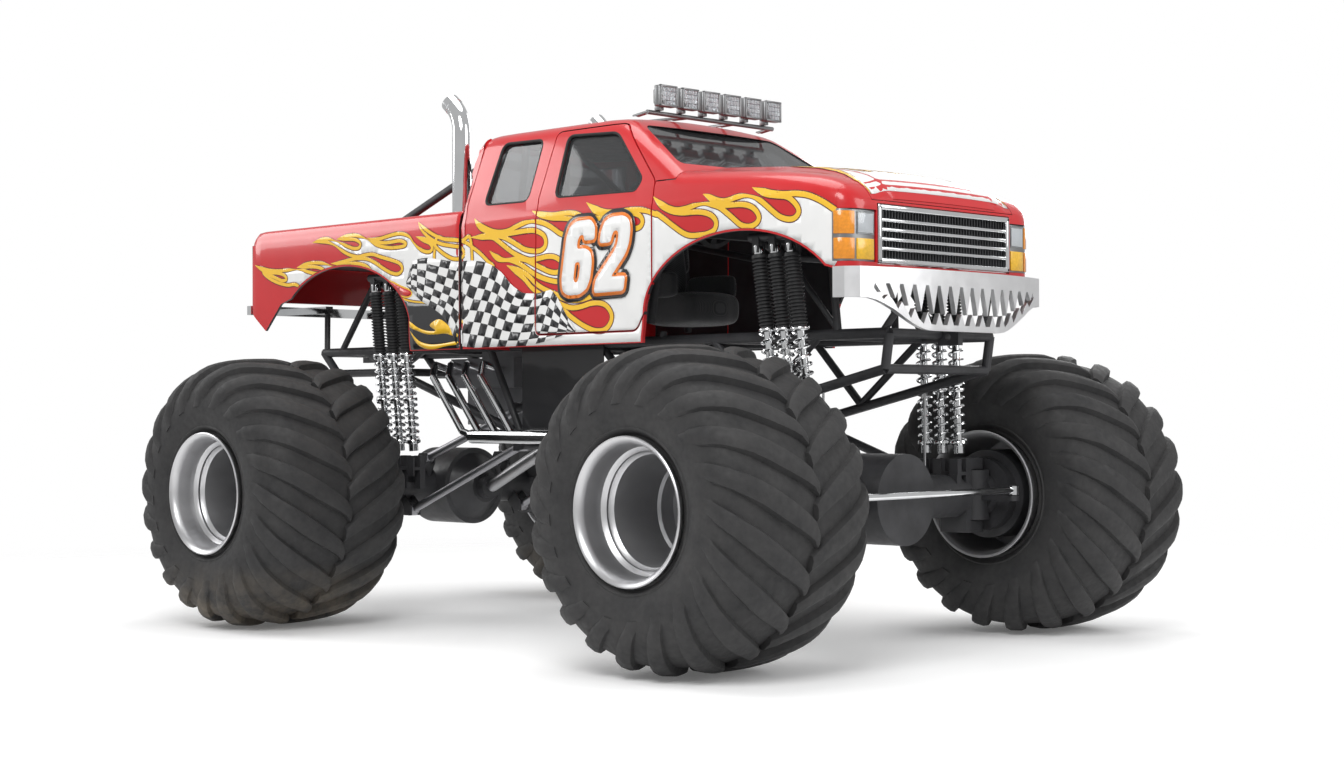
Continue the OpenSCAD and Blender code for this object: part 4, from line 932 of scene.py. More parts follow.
def build_headlamps():
    """A grey corner housing each side with a clear lamp, a yellow indicator and amber markers."""
    housing = [(2.388, 0.600), (2.484, 0.600), (2.482, 0.700), (2.474, 0.755), (2.458, 0.796), (2.432, 0.824),
               (2.388, 0.838)]
    front = [(2.474, 0.613), (2.491, 0.613), (2.490, 0.690), (2.484, 0.742), (2.468, 0.742)]
    mirror = [(2.4855, 0.622), (2.4875, 0.622), (2.4865, 0.690), (2.481, 0.734), (2.479, 0.734)]
    side = [(2.456, 0.757), (2.479, 0.757), (2.463, 0.801), (2.436, 0.831), (2.402, 0.843), (2.402, 0.822),
            (2.428, 0.806)]
    parts = []
    for s in (1, -1):
        def solid(name, plan, z0, z1, mat, bevel):
            bm = prism_bm([(x, y * s) for x, y in plan], "z", z0, z1)
            edges = [e for e in bm.edges if e.calc_face_angle(0) > 0.5]
            bmesh.ops.bevel(bm, geom=edges, offset=bevel, segments=2, affect="EDGES", profile=0.5, material=-1)
            parts.append(finish_object(name, bm, mat, 40))
        solid("housing", housing, 2.110, 2.384, MAT["lamp_grey"], 0.005)
        solid("reflector", mirror, 2.262, 2.362, MAT["reflector"], 0.0003)
        solid("clear", front, 2.252, 2.373, MAT["clear_glass"], 0.004)
        solid("indicator", front, 2.121, 2.232, MAT["gold"], 0.004)
        solid("marker_up", side, 2.252, 2.373, MAT["amber"], 0.004)
        solid("marker_low", side, 2.121, 2.232, MAT["amber"], 0.004)
    return join("corner_lamps", parts)


def build_roof_lamps():
    """Six square lamps with bezels, facets and clear lenses on the roof bar."""
    lo, hi = (Vector(c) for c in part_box("roof_lamps"))
    wide, parts = 0.142, []
    pitch = (hi.y - lo.y - wide) / 5
    foot = lo.z + 0.0157
    for i in range(6):
        y0 = lo.y + i * pitch
        y1 = y0 + wide
        bm = bmesh.new()
        box_bm(bm, (hi.x - 0.060, y0, foot), (hi.x - 0.014, y1, hi.z), 0.010, 3)
        y, z, tall = (y0 + y1) / 2, (foot + hi.z) / 2, hi.z - foot
        size = Matrix.Diagonal((0.030, wide * 0.8, tall * 0.8, 1))
        out = bmesh.ops.create_cube(bm, size=1, matrix=Matrix.Translation((hi.x - 0.074, y, z)) @ size)
        for v in out["verts"]:
            if v.co.x < hi.x - 0.08:
                v.co.y = y + (v.co.y - y) * 0.75
                v.co.z = z + (v.co.z - z) * 0.75
        box_bm(bm, (lo.x, y - 0.018, lo.z), (lo.x + 0.045, y + 0.018, foot + 0.02), 0.003)
        parts.append(finish_object("case", bm, MAT["lamp_grey"], 40))
        bm = bmesh.new()
        t = 0.011
        border(bm, (hi.x - 0.018, y0, foot), (hi.x, y1, hi.z), t, 0.003)
        parts.append(finish_object("bezel", bm, MAT["lamp_grey"], 40))
        bm = bmesh.new()
        for r in range(4):
            for c in range(5):
                ya, yb = (y0 + t + (wide - 2 * t) * k / 5 for k in (c, c + 1))
                za, zb = (foot + t + (tall - 2 * t) * k / 4 for k in (r, r + 1))
                box_bm(bm, (hi.x - 0.0150, ya + 0.0015, za + 0.0015), (hi.x - 0.0070, yb - 0.0015, zb - 0.0015),
                       0.0035, 2)
        parts.append(finish_object("facets", bm, MAT["reflector"], 30))
        bm = bmesh.new()
        box_bm(bm, (hi.x - 0.004, y0 + t * 0.8, foot + t * 0.8), (hi.x - 0.0015, y1 - t * 0.8, hi.z - t * 0.8), 0.001)
        parts.append(finish_object("lens", bm, MAT["clear_glass"], 40))
    return join("roof_lamp_set", parts)


def cushion(name, lo, hi, lean):
    """A crowned pad: a subdivided block whose edges pull in, leaning back by an angle."""
    lo, hi = Vector(lo), Vector(hi)
    bm = bmesh.new()
    bmesh.ops.create_cube(bm, size=2)
    bmesh.ops.subdivide_edges(bm, edges=bm.edges, cuts=5, use_grid_fill=True)
    half, mid = (hi - lo) / 2, (hi + lo) / 2
    for v in bm.verts:
        c = v.co.copy()
        pull = Vector([1 - 0.09 * (abs(c[(k + 1) % 3]) ** 4 + abs(c[(k + 2) % 3]) ** 4) for k in range(3)])
        seam = 0.94 if abs(abs(c.y) - 0.66) < 0.05 else 1.0
        v.co = Vector([c[k] * pull[k] * half[k] * 0.985 for k in range(3)])
        v.co.x *= seam
        v.co = Matrix.Rotation(lean, 3, "Y") @ v.co + mid
    ob = finish_object(name, bm, MAT["seat_fabric"], 0)
    mod = ob.modifiers.new("soft", "SUBSURF")
    mod.levels = mod.render_levels = 2
    settle(ob)
    for p in ob.data.polygons:
        p.use_smooth = True
    return ob


def build_seat():
    """Racing seat: base, back, head rest and side bolsters, all padded."""
    lo, hi = (Vector(c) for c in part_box("driver_seat"))
    z = lo.z
    x = lo.x + 0.20
    pads = [("seat_base", (x + 0.02, -0.235, z + 0.005), (hi.x - 0.02, 0.235, z + 0.215), 0.0),
            ("seat_back", (x - 0.155, -0.235, z + 0.14), (x + 0.02, 0.235, z + 0.78), -0.16),
            ("seat_head", (lo.x + 0.01, -0.10, z + 0.765), (lo.x + 0.12, 0.10, hi.z - 0.005), -0.10)]
    for kind, near, far, foot, top, inner, lean in (("bolster", -0.01, 0.40, 0.17, 0.33, 0.225, 0.0),
                                                    ("wing", -0.17, -0.02, 0.34, 0.69, 0.215, -0.16)):
        for side, s in SIDES:
            y0, y1 = sorted((inner * s, 0.285 * s))
            pads.append((f"seat_{kind}_{side}", (x + near, y0, z + foot), (x + far, y1, z + top), lean))
    for k, (name, a, b, lean) in enumerate(pads):
        ob = cushion(name, a, b, lean)
        place(ob, "chassis", ["driver_seat"] if k == 0 else ())


def build_seals():
    """Black rubber round the side windows."""
    for side, s in SIDES:
        for name, outline, body in (("door_seal_", DOOR_WINDOW, side + "_door"),
                                    ("quarter_seal_", QUARTER_WINDOW, "chassis")):
            path = [(x, (side_y(z) - 0.009) * s, z) for x, z in rounded(outline, WINDOW_CORNER, 6)]
            place(tube(name + side, path, 0.010, MAT["seal"], closed=True), body)


# ---------------------------------------------------------------- paintwork

# Flames on the fender, door and cab side, in millimetres of x and z; a third number marks the tip of a tongue
CAB_FLAME = [
    (2458, 2340), (2408, 2376), (2333, 2425), (2249, 2461), (2164, 2477), (2068, 2482), (1980, 2495), (1915, 2513),
    (1841, 2534, 1), (1892, 2509), (1959, 2487), (2024, 2476), (2089, 2467), (2132, 2445), (2169, 2408), (2177, 2375),
    (2148, 2349), (2105, 2346), (2051, 2361), (2002, 2391), (1953, 2428), (1903, 2462), (1848, 2483), (1792, 2493),
    (1736, 2490), (1679, 2478), (1634, 2475), (1576, 2488), (1525, 2513), (1478, 2525, 1), (1530, 2497), (1582, 2471),
    (1645, 2452), (1724, 2450), (1792, 2445), (1848, 2427), (1886, 2395), (1897, 2361), (1869, 2334), (1819, 2325),
    (1763, 2339), (1713, 2374), (1662, 2410), (1611, 2443), (1553, 2462), (1495, 2471), (1425, 2467), (1355, 2455),
    (1283, 2452), (1212, 2471), (1152, 2501), (1088, 2541, 1), (1133, 2503), (1188, 2469), (1260, 2442), (1343, 2431),
    (1437, 2430), (1507, 2419), (1559, 2396), (1584, 2361), (1570, 2324), (1518, 2305), (1459, 2301), (1389, 2303),
    (1330, 2322), (1247, 2370), (1187, 2408), (1127, 2443), (1123, 2438), (1033, 2466), (941, 2476), (837, 2475),
    (743, 2476), (672, 2490), (612, 2513), (542, 2546, 1), (588, 2512), (636, 2485), (707, 2468), (778, 2466),
    (871, 2462), (952, 2454), (998, 2435), (1015, 2405), (998, 2378), (958, 2368), (894, 2377), (825, 2401),
    (743, 2427), (660, 2447), (546, 2460), (480, 2482), (419, 2493), (345, 2495), (271, 2492), (196, 2499),
    (133, 2512), (74, 2529, 1), (120, 2507), (196, 2487), (270, 2473), (369, 2465), (504, 2441), (522, 2400),
    (449, 2371), (381, 2367), (326, 2381), (283, 2405), (233, 2431), (170, 2454), (95, 2465), (18, 2462), (-59, 2444),
    (-124, 2425), (-189, 2419), (-268, 2428), (-347, 2455), (-401, 2483), (-450, 2517, 1), (-407, 2468), (-347, 2439),
    (-268, 2417), (-189, 2405), (-98, 2407), (-8, 2412), (82, 2413), (132, 2403), (183, 2379), (205, 2344),
    (195, 2307), (151, 2288), (87, 2290), (17, 2304), (-47, 2333), (-111, 2363), (-176, 2388), (-255, 2403),
    (-334, 2406), (-414, 2404), (-479, 2404, 1), (-374, 2398), (-281, 2391), (-229, 2370), (-163, 2331), (-86, 2288),
    (4, 2253), (68, 2237), (144, 2242), (220, 2250), (282, 2243), (331, 2219), (353, 2184), (337, 2160), (288, 2152),
    (232, 2161), (169, 2184), (93, 2214), (30, 2239), (-47, 2252), (-125, 2252), (-190, 2257), (-242, 2279),
    (-301, 2311, 1), (-255, 2271), (-190, 2246), (-112, 2238), (-34, 2221), (42, 2183), (119, 2145), (206, 2116),
    (281, 2100), (343, 2093), (441, 2072), (514, 2075), (574, 2062), (610, 2031), (622, 2010), (562, 1992),
    (489, 1982), (416, 1985), (343, 2000), (293, 2023), (194, 2057), (118, 2094), (55, 2140), (-22, 2178),
    (-144, 2215, 1), (-60, 2171), (17, 2125), (80, 2071), (168, 2024), (243, 1996), (305, 1975), (379, 1949),
    (440, 1938), (513, 1944), (586, 1958), (657, 1959), (717, 1940), (758, 1894), (752, 1845), (704, 1805),
    (633, 1799), (561, 1818), (489, 1849), (416, 1889), (355, 1925), (268, 1911), (117, 1865), (15, 1800),
    (-36, 1682), (439, 1655), (1051, 1640), (1600, 1620), (2200, 1640), (2640, 1800), (2660, 2230)]
# Flames on the bed side
BED_FLAME = [
    (-475, 2374), (-556, 2389), (-638, 2398), (-721, 2407), (-805, 2430), (-889, 2467), (-952, 2502),
    (-1000, 2532, 1), (-967, 2490), (-903, 2441), (-833, 2405), (-749, 2378), (-652, 2362), (-570, 2346),
    (-539, 2309), (-568, 2284), (-639, 2280), (-722, 2310), (-791, 2349), (-854, 2396), (-931, 2425),
    (-1010, 2441, 1), (-946, 2414), (-882, 2395), (-850, 2366), (-868, 2340), (-925, 2343), (-988, 2369),
    (-1038, 2406), (-1074, 2442), (-1132, 2465), (-1204, 2471), (-1292, 2462), (-1381, 2450), (-1456, 2453),
    (-1508, 2463, 1), (-1441, 2439), (-1351, 2422), (-1263, 2421), (-1175, 2425), (-1117, 2408), (-1125, 2391),
    (-1175, 2385), (-1263, 2385), (-1351, 2397), (-1426, 2417), (-1501, 2449), (-1576, 2475), (-1667, 2490),
    (-1759, 2486), (-1837, 2474, 1), (-1775, 2468), (-1698, 2467), (-1629, 2457), (-1584, 2431), (-1599, 2404),
    (-1652, 2402), (-1713, 2418), (-1783, 2442), (-1852, 2463), (-1931, 2481), (-2017, 2482), (-2102, 2467, 1),
    (-2009, 2467), (-1931, 2458), (-1853, 2432), (-1775, 2393), (-1698, 2363), (-1607, 2346), (-1546, 2352),
    (-1456, 2354), (-1367, 2331), (-1263, 2307), (-1176, 2280), (-1150, 2242), (-1191, 2215), (-1264, 2225),
    (-1352, 2261), (-1426, 2297), (-1501, 2324), (-1576, 2334), (-1652, 2334), (-1729, 2327), (-1806, 2319),
    (-1900, 2317, 1), (-1822, 2309), (-1729, 2307), (-1637, 2305), (-1546, 2289), (-1486, 2259), (-1483, 2231),
    (-1531, 2226), (-1622, 2251), (-1714, 2274), (-1806, 2284), (-1884, 2297), (-1962, 2318), (-2041, 2329),
    (-2137, 2331), (-2218, 2322), (-2282, 2308, 1), (-2202, 2307), (-2105, 2306), (-2026, 2295), (-1978, 2272),
    (-2058, 2258), (-2153, 2274), (-2218, 2290), (-2315, 2297), (-2413, 2297), (-2513, 2298), (-2613, 2309),
    (-2697, 2328), (-2768, 2349, 1), (-2697, 2317), (-2613, 2290), (-2513, 2284), (-2430, 2266), (-2400, 2236),
    (-2447, 2228), (-2529, 2252), (-2613, 2279), (-2672, 2296), (-2630, 2266), (-2546, 2231), (-2463, 2208),
    (-2381, 2195), (-2283, 2192), (-2154, 2110), (-1807, 2039), (-1502, 2047), (-1293, 2093), (-1264, 2088),
    (-1177, 2057), (-1061, 2030), (-933, 2016), (-778, 2001), (-640, 1942), (-477, 1902)]
CAB_REAR_FLAME = [
    (-812, 2413), (-728, 2408), (-618, 2397), (-522, 2374), (-455, 2339), (-388, 2300), (-322, 2251), (-282, 2208),
    (-591, 2188), (-812, 2216)]
# Dark field below the rear flames, and its licks
DARK_FIELD = [
    (-1293, 2093), (-1264, 2088), (-1177, 2057), (-1061, 2030), (-933, 2016), (-778, 2001), (-640, 1942),
    (-613, 1924), (-600, 1676), (-1091, 1687), (-1091, 1831), (-1162, 1970)]
LICK_UPPER = [
    (-1148, 1933, 1), (-1076, 1908), (-990, 1865), (-905, 1844), (-821, 1842), (-877, 1879), (-779, 1912),
    (-668, 1855), (-613, 1818), (-613, 1796), (-723, 1821), (-807, 1819), (-905, 1822), (-1004, 1847), (-1090, 1877)]
LICK_LOWER = [
    (-1076, 1849, 1), (-990, 1784), (-877, 1758), (-751, 1760), (-641, 1770), (-613, 1769), (-613, 1752),
    (-737, 1741), (-849, 1726), (-948, 1737), (-1019, 1775)]
RED_DROP = [
    (-1449, 2194, 1), (-1352, 2178), (-1264, 2165), (-1162, 2129), (-1075, 2102), (-1061, 2079), (-1104, 2067),
    (-1191, 2085), (-1279, 2111), (-1352, 2146)]


def flow(points, steps=4):
    """A smooth line through the points, with the distance factor that thins a stroke near its tips."""
    n = len(points)
    out = []
    for i in range(n):
        p0, p1, p2, p3 = (Vector(points[(i + k) % n][:2]) / 1000 for k in (-1, 0, 1, 2))
        if len(points[i]) > 2:
            p0 = p1
        if len(points[(i + 1) % n]) > 2:
            p3 = p2
        for k in range(steps):
            t = k / steps
            out.append(0.5 * (2 * p1 + (p2 - p0) * t + (2 * p0 - 5 * p1 + 4 * p2 - p3) * t * t
                              + (3 * p1 - p0 - 3 * p2 + p3) * t ** 3))
    tip_at = [Vector(p[:2]) / 1000 for p in points if len(p) > 2]
    factor = [min([1.0] + [0.12 + (q - t).length / 0.11 for t in tip_at]) for q in out]
    return out, factor


def stroke(line, factor, width):
    """Overlapping quads and discs that cover a band along a closed line."""
    polys = []
    n = len(line)
    for i in range(n):
        a, b = line[i], line[(i + 1) % n]
        d = b - a
        if d.length < 1e-6:
            continue
        u = Vector((-d.y, d.x)).normalized()
        wa, wb = width * factor[i] / 2, width * factor[(i + 1) % n] / 2
        polys.append([a + u * wa, a - u * wa, b - u * wb, b + u * wb])
        polys.append([a + Vector((math.cos(t), math.sin(t))) * wa for t in (math.tau * k / 8 for k in range(8))])
    return polys


def inside(p, poly):
    """Whether a point lies in a closed outline."""
    hit = False
    n = len(poly)
    for i in range(n):
        (x0, z0), (x1, z1) = poly[i][:2], poly[i - 1][:2]
        if (z0 > p[1]) != (z1 > p[1]) and p[0] < (x1 - x0) * (p[1] - z0) / (z1 - z0) + x0:
            hit = not hit
    return hit


def finely(loop, step=0.04):
    """The same closed loop with no edge longer than the step."""
    out = []
    for a, b in zip(loop, list(loop[1:]) + [loop[0]]):
        a, b = Vector(a[:2]), Vector(b[:2])
        n = max(1, math.ceil((b - a).length / step))
        out += [a.lerp(b, k / n) for k in range(n)]
    return out


def flat_union(polys, holes=(), guides=(), keep=None, pitch=0.045, cell=0.06):
    """Triangles centred in any of the polygons and in none of the holes, with edges along the guides."""
    verts, edges = [], []
    for p in [finely(q) for q in list(polys) + list(holes) + list(guides)]:
        k = len(verts)
        verts += [Vector(q[:2]) for q in p]
        edges += [(k + i, k + (i + 1) % len(p)) for i in range(len(p))]
    xs, zs = [v.x for v in verts], [v.y for v in verts]
    x0, x1, z0, z1 = min(xs), max(xs), min(zs), max(zs)
    for i in range(1, int((x1 - x0) / pitch) + 1):
        for j in range(1, int((z1 - z0) / pitch) + 1):
            verts.append(Vector((x0 + i * pitch + 0.0007 * (j % 3), z0 + j * pitch + 0.0005 * (i % 3))))
    near = {}
    for p in polys:
        px, pz = [q[0] for q in p], [q[1] for q in p]
        for i in range(int(min(px) // cell), int(max(px) // cell) + 1):
            for j in range(int(min(pz) // cell), int(max(pz) // cell) + 1):
                near.setdefault((i, j), []).append(p)
    points, _, tris, *_ = delaunay_2d_cdt(verts, edges, [], 0, 1e-6)
    out = []
    for tri in tris:
        c = sum((points[i] for i in tri), Vector((0, 0))) / len(tri)
        here = near.get((int(c.x // cell), int(c.y // cell)), ())
        if any(inside(c, p) for p in here) and not any(inside(c, h) for h in holes) and (not keep or keep(c)):
            out.append(tri)
    return points, out


def skin_bm(flat, tree, lift, hand, direction="y"):
    """Lays flat triangles on the body's surface and gives them a film's thickness."""
    pts, tris = flat
    bm = bmesh.new()
    vs = {}
    want = Vector((0, hand, 0)) if direction == "y" else Vector((0, 0, 1))

    def vert(i):
        if i not in vs:
            p = pts[i]
            if direction == "y":
                hit = tree.ray_cast(Vector((p.x, 1.5 * hand, p.y)), Vector((0, -hand, 0)))
            else:
                hit = tree.ray_cast(Vector((p.x, p.y, 4.0)), Vector((0, 0, -1)))
            out = hit[0] and hit[1].normalized() * lift * (1 if hit[1].dot(want) > 0 else -1)
            vs[i] = bm.verts.new(hit[0] + out) if hit[0] else None
        return vs[i]
    for t in tris:
        q = [vert(i) for i in t]
        if None in q:
            continue
        if any((q[0].co - k.co).length > 0.25 for k in q[1:]):
            continue
        try:
            bm.faces.new(q)
        except ValueError:
            pass
    loose = [v for v in bm.verts if not v.link_faces]
    bmesh.ops.delete(bm, geom=loose, context="VERTS")
    bmesh.ops.recalc_face_normals(bm, faces=bm.faces)
    flip = [f for f in bm.faces if f.normal.dot(want) < 0]
    if flip:
        bmesh.ops.reverse_faces(bm, faces=flip)
    return bm


def zone_of(c):
    """Which panel a point of the cab side lies on, or None in a gap, window, arch or off the body."""
    x, z = c.x, c.y
    if z < SILL_Z + 0.006 or inside(c, FRONT_ARCH_LIP) or inside(c, REAR_ARCH_LIP):
        return None
    if x < BED_FRONT - 0.003:
        return "bed"
    if x < CAB_BACK + 0.024:
        return None
    if inside(c, DOOR_IN):
        return "door"
    if inside(c, DOOR_OUT):
        return None
    if x > 1.085:
        if x > NOSE_X - 0.088 or z > 2.60 and x < COWL_X:
            return None if x > NOSE_X - 0.088 else "cab"
        return None if x < 1.0895 else "fender"
    return None if x > 1.081 else "cab"


FRONT_ARCH_LIP = grow(FRONT_ARCH, 0.012)
REAR_ARCH_LIP = grow(REAR_ARCH, 0.012)
DOOR_IN = rounded(grow(DOOR, -0.006), 0.035)
DOOR_OUT = rounded(grow(DOOR, 0.006), 0.043)
GUIDES = [DOOR_IN, DOOR_OUT, FRONT_ARCH_LIP, REAR_ARCH_LIP,
          [(1.081, 1.6), (1.0895, 1.6), (1.0895, 2.7), (1.081, 2.7)],
          [(BED_FRONT - 0.003, 1.6), (CAB_BACK + 0.024, 1.6), (CAB_BACK + 0.024, 2.7), (BED_FRONT - 0.003, 2.7)],
          [(-3.2, SILL_Z + 0.006), (3.0, SILL_Z + 0.006), (3.0, 1.5), (-3.2, 1.5)]]


def film(name, polys, material, lift, hand, holes=()):
    """One colour of the side paintwork: split where panels part, and moving with each."""
    pts, tris = flat_union(polys, holes, GUIDES)
    groups = {}
    for t in tris:
        c = sum((pts[i] for i in t), Vector((0, 0))) / len(t)
        z = zone_of(c)
        if z:
            groups.setdefault("door" if z == "door" else "bed" if z == "bed" else "cab", []).append(t)
    for zone, ts in groups.items():
        bm = skin_bm((pts, ts), SURFACE["bed" if zone == "bed" else "cab"], lift, hand)
        side = "left" if hand > 0 else "right"
        ob = finish_object(f"{name}_{zone}_{side}", bm, material, 60)
        mod = ob.modifiers.new("film", "SOLIDIFY")
        mod.thickness, mod.offset = FILM, 0.0
        settle(ob)
        place(ob, side + "_door" if zone == "door" else "chassis")


def flag_point(u, v):
    """Point of the waving flag: u along it, v from its upper edge down."""
    def along(line, t):
        t *= len(line) - 1
        i = min(int(t), len(line) - 2)
        return (Vector(line[i][:2]) * (1 - t + i) + Vector(line[i + 1][:2]) * (t - i)) / 1000
    return along(FLAG_UP, u) * (1 - v) + along(FLAG_DOWN, u) * v + Vector((0, 0.012 * math.sin(9 * u + 5 * v)))


FLAG_UP = [
    (-1104, 2151), (-1046, 2287), (-900, 2292), (-708, 2262), (-600, 2252), (-482, 2262), (-348, 2254), (-256, 2226),
    (-177, 2180), (-99, 2105), (3, 2045), (131, 2030), (256, 2044), (310, 1990), (370, 1905), (458, 1801)]
FLAG_DOWN = [
    (-1104, 2149), (-1030, 2090), (-950, 2030), (-860, 1985), (-760, 1930), (-680, 1850), (-620, 1735), (-500, 1728),
    (-400, 1728), (-300, 1728), (-200, 1728), (-62, 1729), (80, 1736), (192, 1745), (330, 1768), (458, 1799)]
DIGITS = {
    "6": ([(0.30, 0.0), (0.68, 0.0), (0.90, 0.07), (0.98, 0.20), (0.98, 0.42), (0.90, 0.56), (0.70, 0.62),
           (0.42, 0.62), (0.42, 0.74),
           (0.48, 0.80), (0.60, 0.80), (0.64, 0.72), (0.98, 0.72), (0.95, 0.90), (0.78, 1.0), (0.32, 1.0),
           (0.10, 0.93), (0.02, 0.78),
           (0.02, 0.22), (0.10, 0.06)],
          [(0.42, 0.22), (0.48, 0.17), (0.56, 0.17), (0.60, 0.23), (0.60, 0.38), (0.56, 0.44), (0.42, 0.44)]),
    "2": ([(0.02, 0.0), (0.98, 0.0), (0.98, 0.20), (0.52, 0.20), (0.90, 0.48), (0.98, 0.62), (0.98, 0.80),
           (0.90, 0.94), (0.70, 1.0),
           (0.30, 1.0), (0.10, 0.94), (0.02, 0.80), (0.02, 0.66), (0.38, 0.66), (0.40, 0.76), (0.46, 0.81),
           (0.56, 0.81), (0.61, 0.75),
           (0.61, 0.64), (0.55, 0.55), (0.06, 0.20), (0.02, 0.14)], None)}


def digit(ch, x0, hand):
    """Outline of a race numeral, leaning forward and readable from its own side."""
    outline, hole = DIGITS[ch]
    w, h, lean = 0.255, 0.43, 0.075
    cx, z0 = 0.62, 2.015

    def at(p):
        local = x0 + p[0] * w + lean * p[1]
        return (cx - 0.01 + (local if hand < 0 else -local), z0 + p[1] * h + 0.02 * local)
    return rounded([at(p) for p in outline], 0.022, 3), rounded([at(p) for p in hole], 0.014, 3) if hole else None


def build_side_paint(hand):
    """The flames, the flag and the race number of one side, from the lowest film up."""
    front, ff = flow(CAB_FLAME)
    bed, bf = flow(BED_FLAME)
    rear, rf = flow(CAB_REAR_FLAME)
    drop, df = flow(RED_DROP)
    dark, up, low = (flow(line)[0] for line in (DARK_FIELD, LICK_UPPER, LICK_LOWER))
    film("flames_white", [front, bed, rear], MAT["white"], 0.0011, hand)
    film("flames_edge_dark", stroke(front, ff, 0.040) + stroke(bed, bf, 0.032) + stroke(rear, rf, 0.032), MAT["line"],
         0.0020, hand)
    film("flames_edge_yellow", stroke(front, ff, 0.029) + stroke(bed, bf, 0.022) + stroke(rear, rf,
            0.022) + stroke(drop, df, 0.02), MAT["yellow"], 0.0029, hand)
    film("red_drop", [drop], MAT["red"], 0.0038, hand)
    film("dark_field", [dark], MAT["black"], 0.0038, hand)
    film("dark_field_licks", [up, low], MAT["yellow"], 0.0047, hand)
    cols, rows = 22, 7
    edge = [flag_point(k / 44, 0) for k in range(45)] + [flag_point(k / 44, 1) for k in range(44, -1, -1)]
    film("flag_white", [edge], MAT["white"], 0.0056, hand)
    squares = []
    for i in range(cols):
        for j in range(rows):
            if (i + j) % 2 == 0:
                a, b, c, d = i / cols, (i + 1) / cols, j / rows, (j + 1) / rows
                m = (a + b) / 2
                squares.append([flag_point(*q) for q in ((a, c), (m, c), (b, c), (b, (c + d) / 2), (b, d), (m, d),
                                                         (a, d), (a, (c + d) / 2))])
    film("flag_black", squares, MAT["black"], 0.0065, hand)
    layers = {"black": [], "orange": [], "white": []}
    holes = {"black": [], "orange": [], "white": []}
    for ch, x0 in (("6", -0.285), ("2", 0.005)):
        out, hole = digit(ch, x0, hand)
        for key, d in (("black", 0.040), ("orange", 0.020), ("white", 0.0)):
            layers[key].append(grow(out, d))
            if hole and d < 0.03:
                holes[key].append(grow(hole, -d * 0.8))
    film("number_border", layers["black"], MAT["black"], 0.0074, hand)
    film("number_edge", layers["orange"], MAT["orange"], 0.0083, hand, holes["orange"])
    film("number_face", layers["white"], MAT["white"], 0.0092, hand, holes["white"])


def build_bonnet_paint():
    """White front of the bonnet with flame tongues running back over it."""
    line = [(2560, -560), (2560, 560)]
    for k in range(5):
        y = 470 - 235 * k
        back = 1790 + (90 if k % 2 else 0)
        line += [(2190, y + 70), (2010, y + 48), (back, y + 4, 1), (2020, y - 12), (2170, y - 48)]
        if k < 4:
            line += [(2230, y - 95), (2240, y - 120)]
    pts, factor = flow(line)
    half = BONNET_HALF - 0.010

    def keep(c):
        return abs(c.y) < half and COWL_X + 0.02 < c.x < NOSE_X - 0.030
    guides = [[(COWL_X + 0.02, -half), (NOSE_X - 0.030, -half), (NOSE_X - 0.030, half), (COWL_X + 0.02, half)]]
    for name, polys, mat, lift in (("bonnet_white", [pts], MAT["white"], 0.0011),
                                   ("bonnet_flames_dark", stroke(pts, factor, 0.038), MAT["line"], 0.0020),
                                   ("bonnet_flames_yellow", stroke(pts, factor, 0.026), MAT["yellow"], 0.0029)):
        bm = skin_bm(flat_union(polys, (), guides, keep), SURFACE["cab"], lift, 1, "z")
        ob = finish_object(name, bm, mat, 60)
        mod = ob.modifiers.new("film", "SOLIDIFY")
        mod.thickness, mod.offset = FILM, 0.0
        place(settle(ob), "hood")


# ---------------------------------------------------------------- settings

class TruckSettings(bpy.types.PropertyGroup):
    red: FloatVectorProperty(name="Body red", description="Main paint of the body", subtype="COLOR", size=3, min=0,
                             max=1, default=(0.56, 0.012, 0.016))
    white: FloatVectorProperty(name="Flame white", description="Paint of the fenders and flames", subtype="COLOR",
                               size=3, min=0, max=1, default=(0.84, 0.84, 0.83))
    yellow: FloatVectorProperty(name="Flame edge", description="Paint of the flames' edges", subtype="COLOR", size=3,
                                min=0, max=1, default=(0.88, 0.52, 0.03))
    lugs: IntProperty(name="Lugs a side", description="Tread lugs on each side of a tyre", min=12, max=28, default=20)
    tyre_steps: IntProperty(name="Tyre steps", description="Segments round a tyre", min=48, max=160, default=112)


def settings():
    return bpy.context.scene.truck_settings


class TRUCK_OT_body(bpy.types.Operator):
    """Smooth body shell with its doors, fenders, bonnet, nose and bed"""
    bl_idname = "truck.body"
    bl_label = "Body panels"

    def execute(self, context):
        pieces = build_cab()
        pieces["bed"] = build_bed()
        for node, ob in pieces.items():
            ob.data.materials.clear()
            for key in ("red", "frame_black"):
                ob.data.materials.append(MAT[key])
            line_inside(ob)
            shade(ob.data, 32)
            place(ob, BODY_OF[node], [node])
        return {"FINISHED"}


class TRUCK_OT_paint(bpy.types.Operator):
    """Flames, chequered flag and race number on the sides and the bonnet"""
    bl_idname = "truck.paint"
    bl_label = "Paintwork"

    def execute(self, context):
        for _, s in SIDES:
            build_side_paint(s)
        build_bonnet_paint()
        return {"FINISHED"}


class TRUCK_OT_wheels(bpy.types.Operator):
    """Four chevron-lug tyres on deep rims"""
    bl_idname = "truck.wheels"
    bl_label = "Tyres and rims"

    def execute(self, context):
        s = settings()
        for axle, x in (("front", FRONT_AXLE_X), ("rear", REAR_AXLE_X)):
            for side, hand in SIDES:
                body = f"wheel_{axle}_{side}"
                mat = MAT["tyre_dusty" if axle == "rear" else "tyre"]
                t = build_tyre(f"lugged_tyre_{axle}_{side}", x, hand, mat, s.tyre_steps, s.lugs)
                place(t, body, [f"tyre_{axle}_{side}"])
                r = build_rim(f"deep_rim_{axle}_{side}", x, hand)
                place(r, body, [f"rim_{axle}_{side}"])
        return {"FINISHED"}


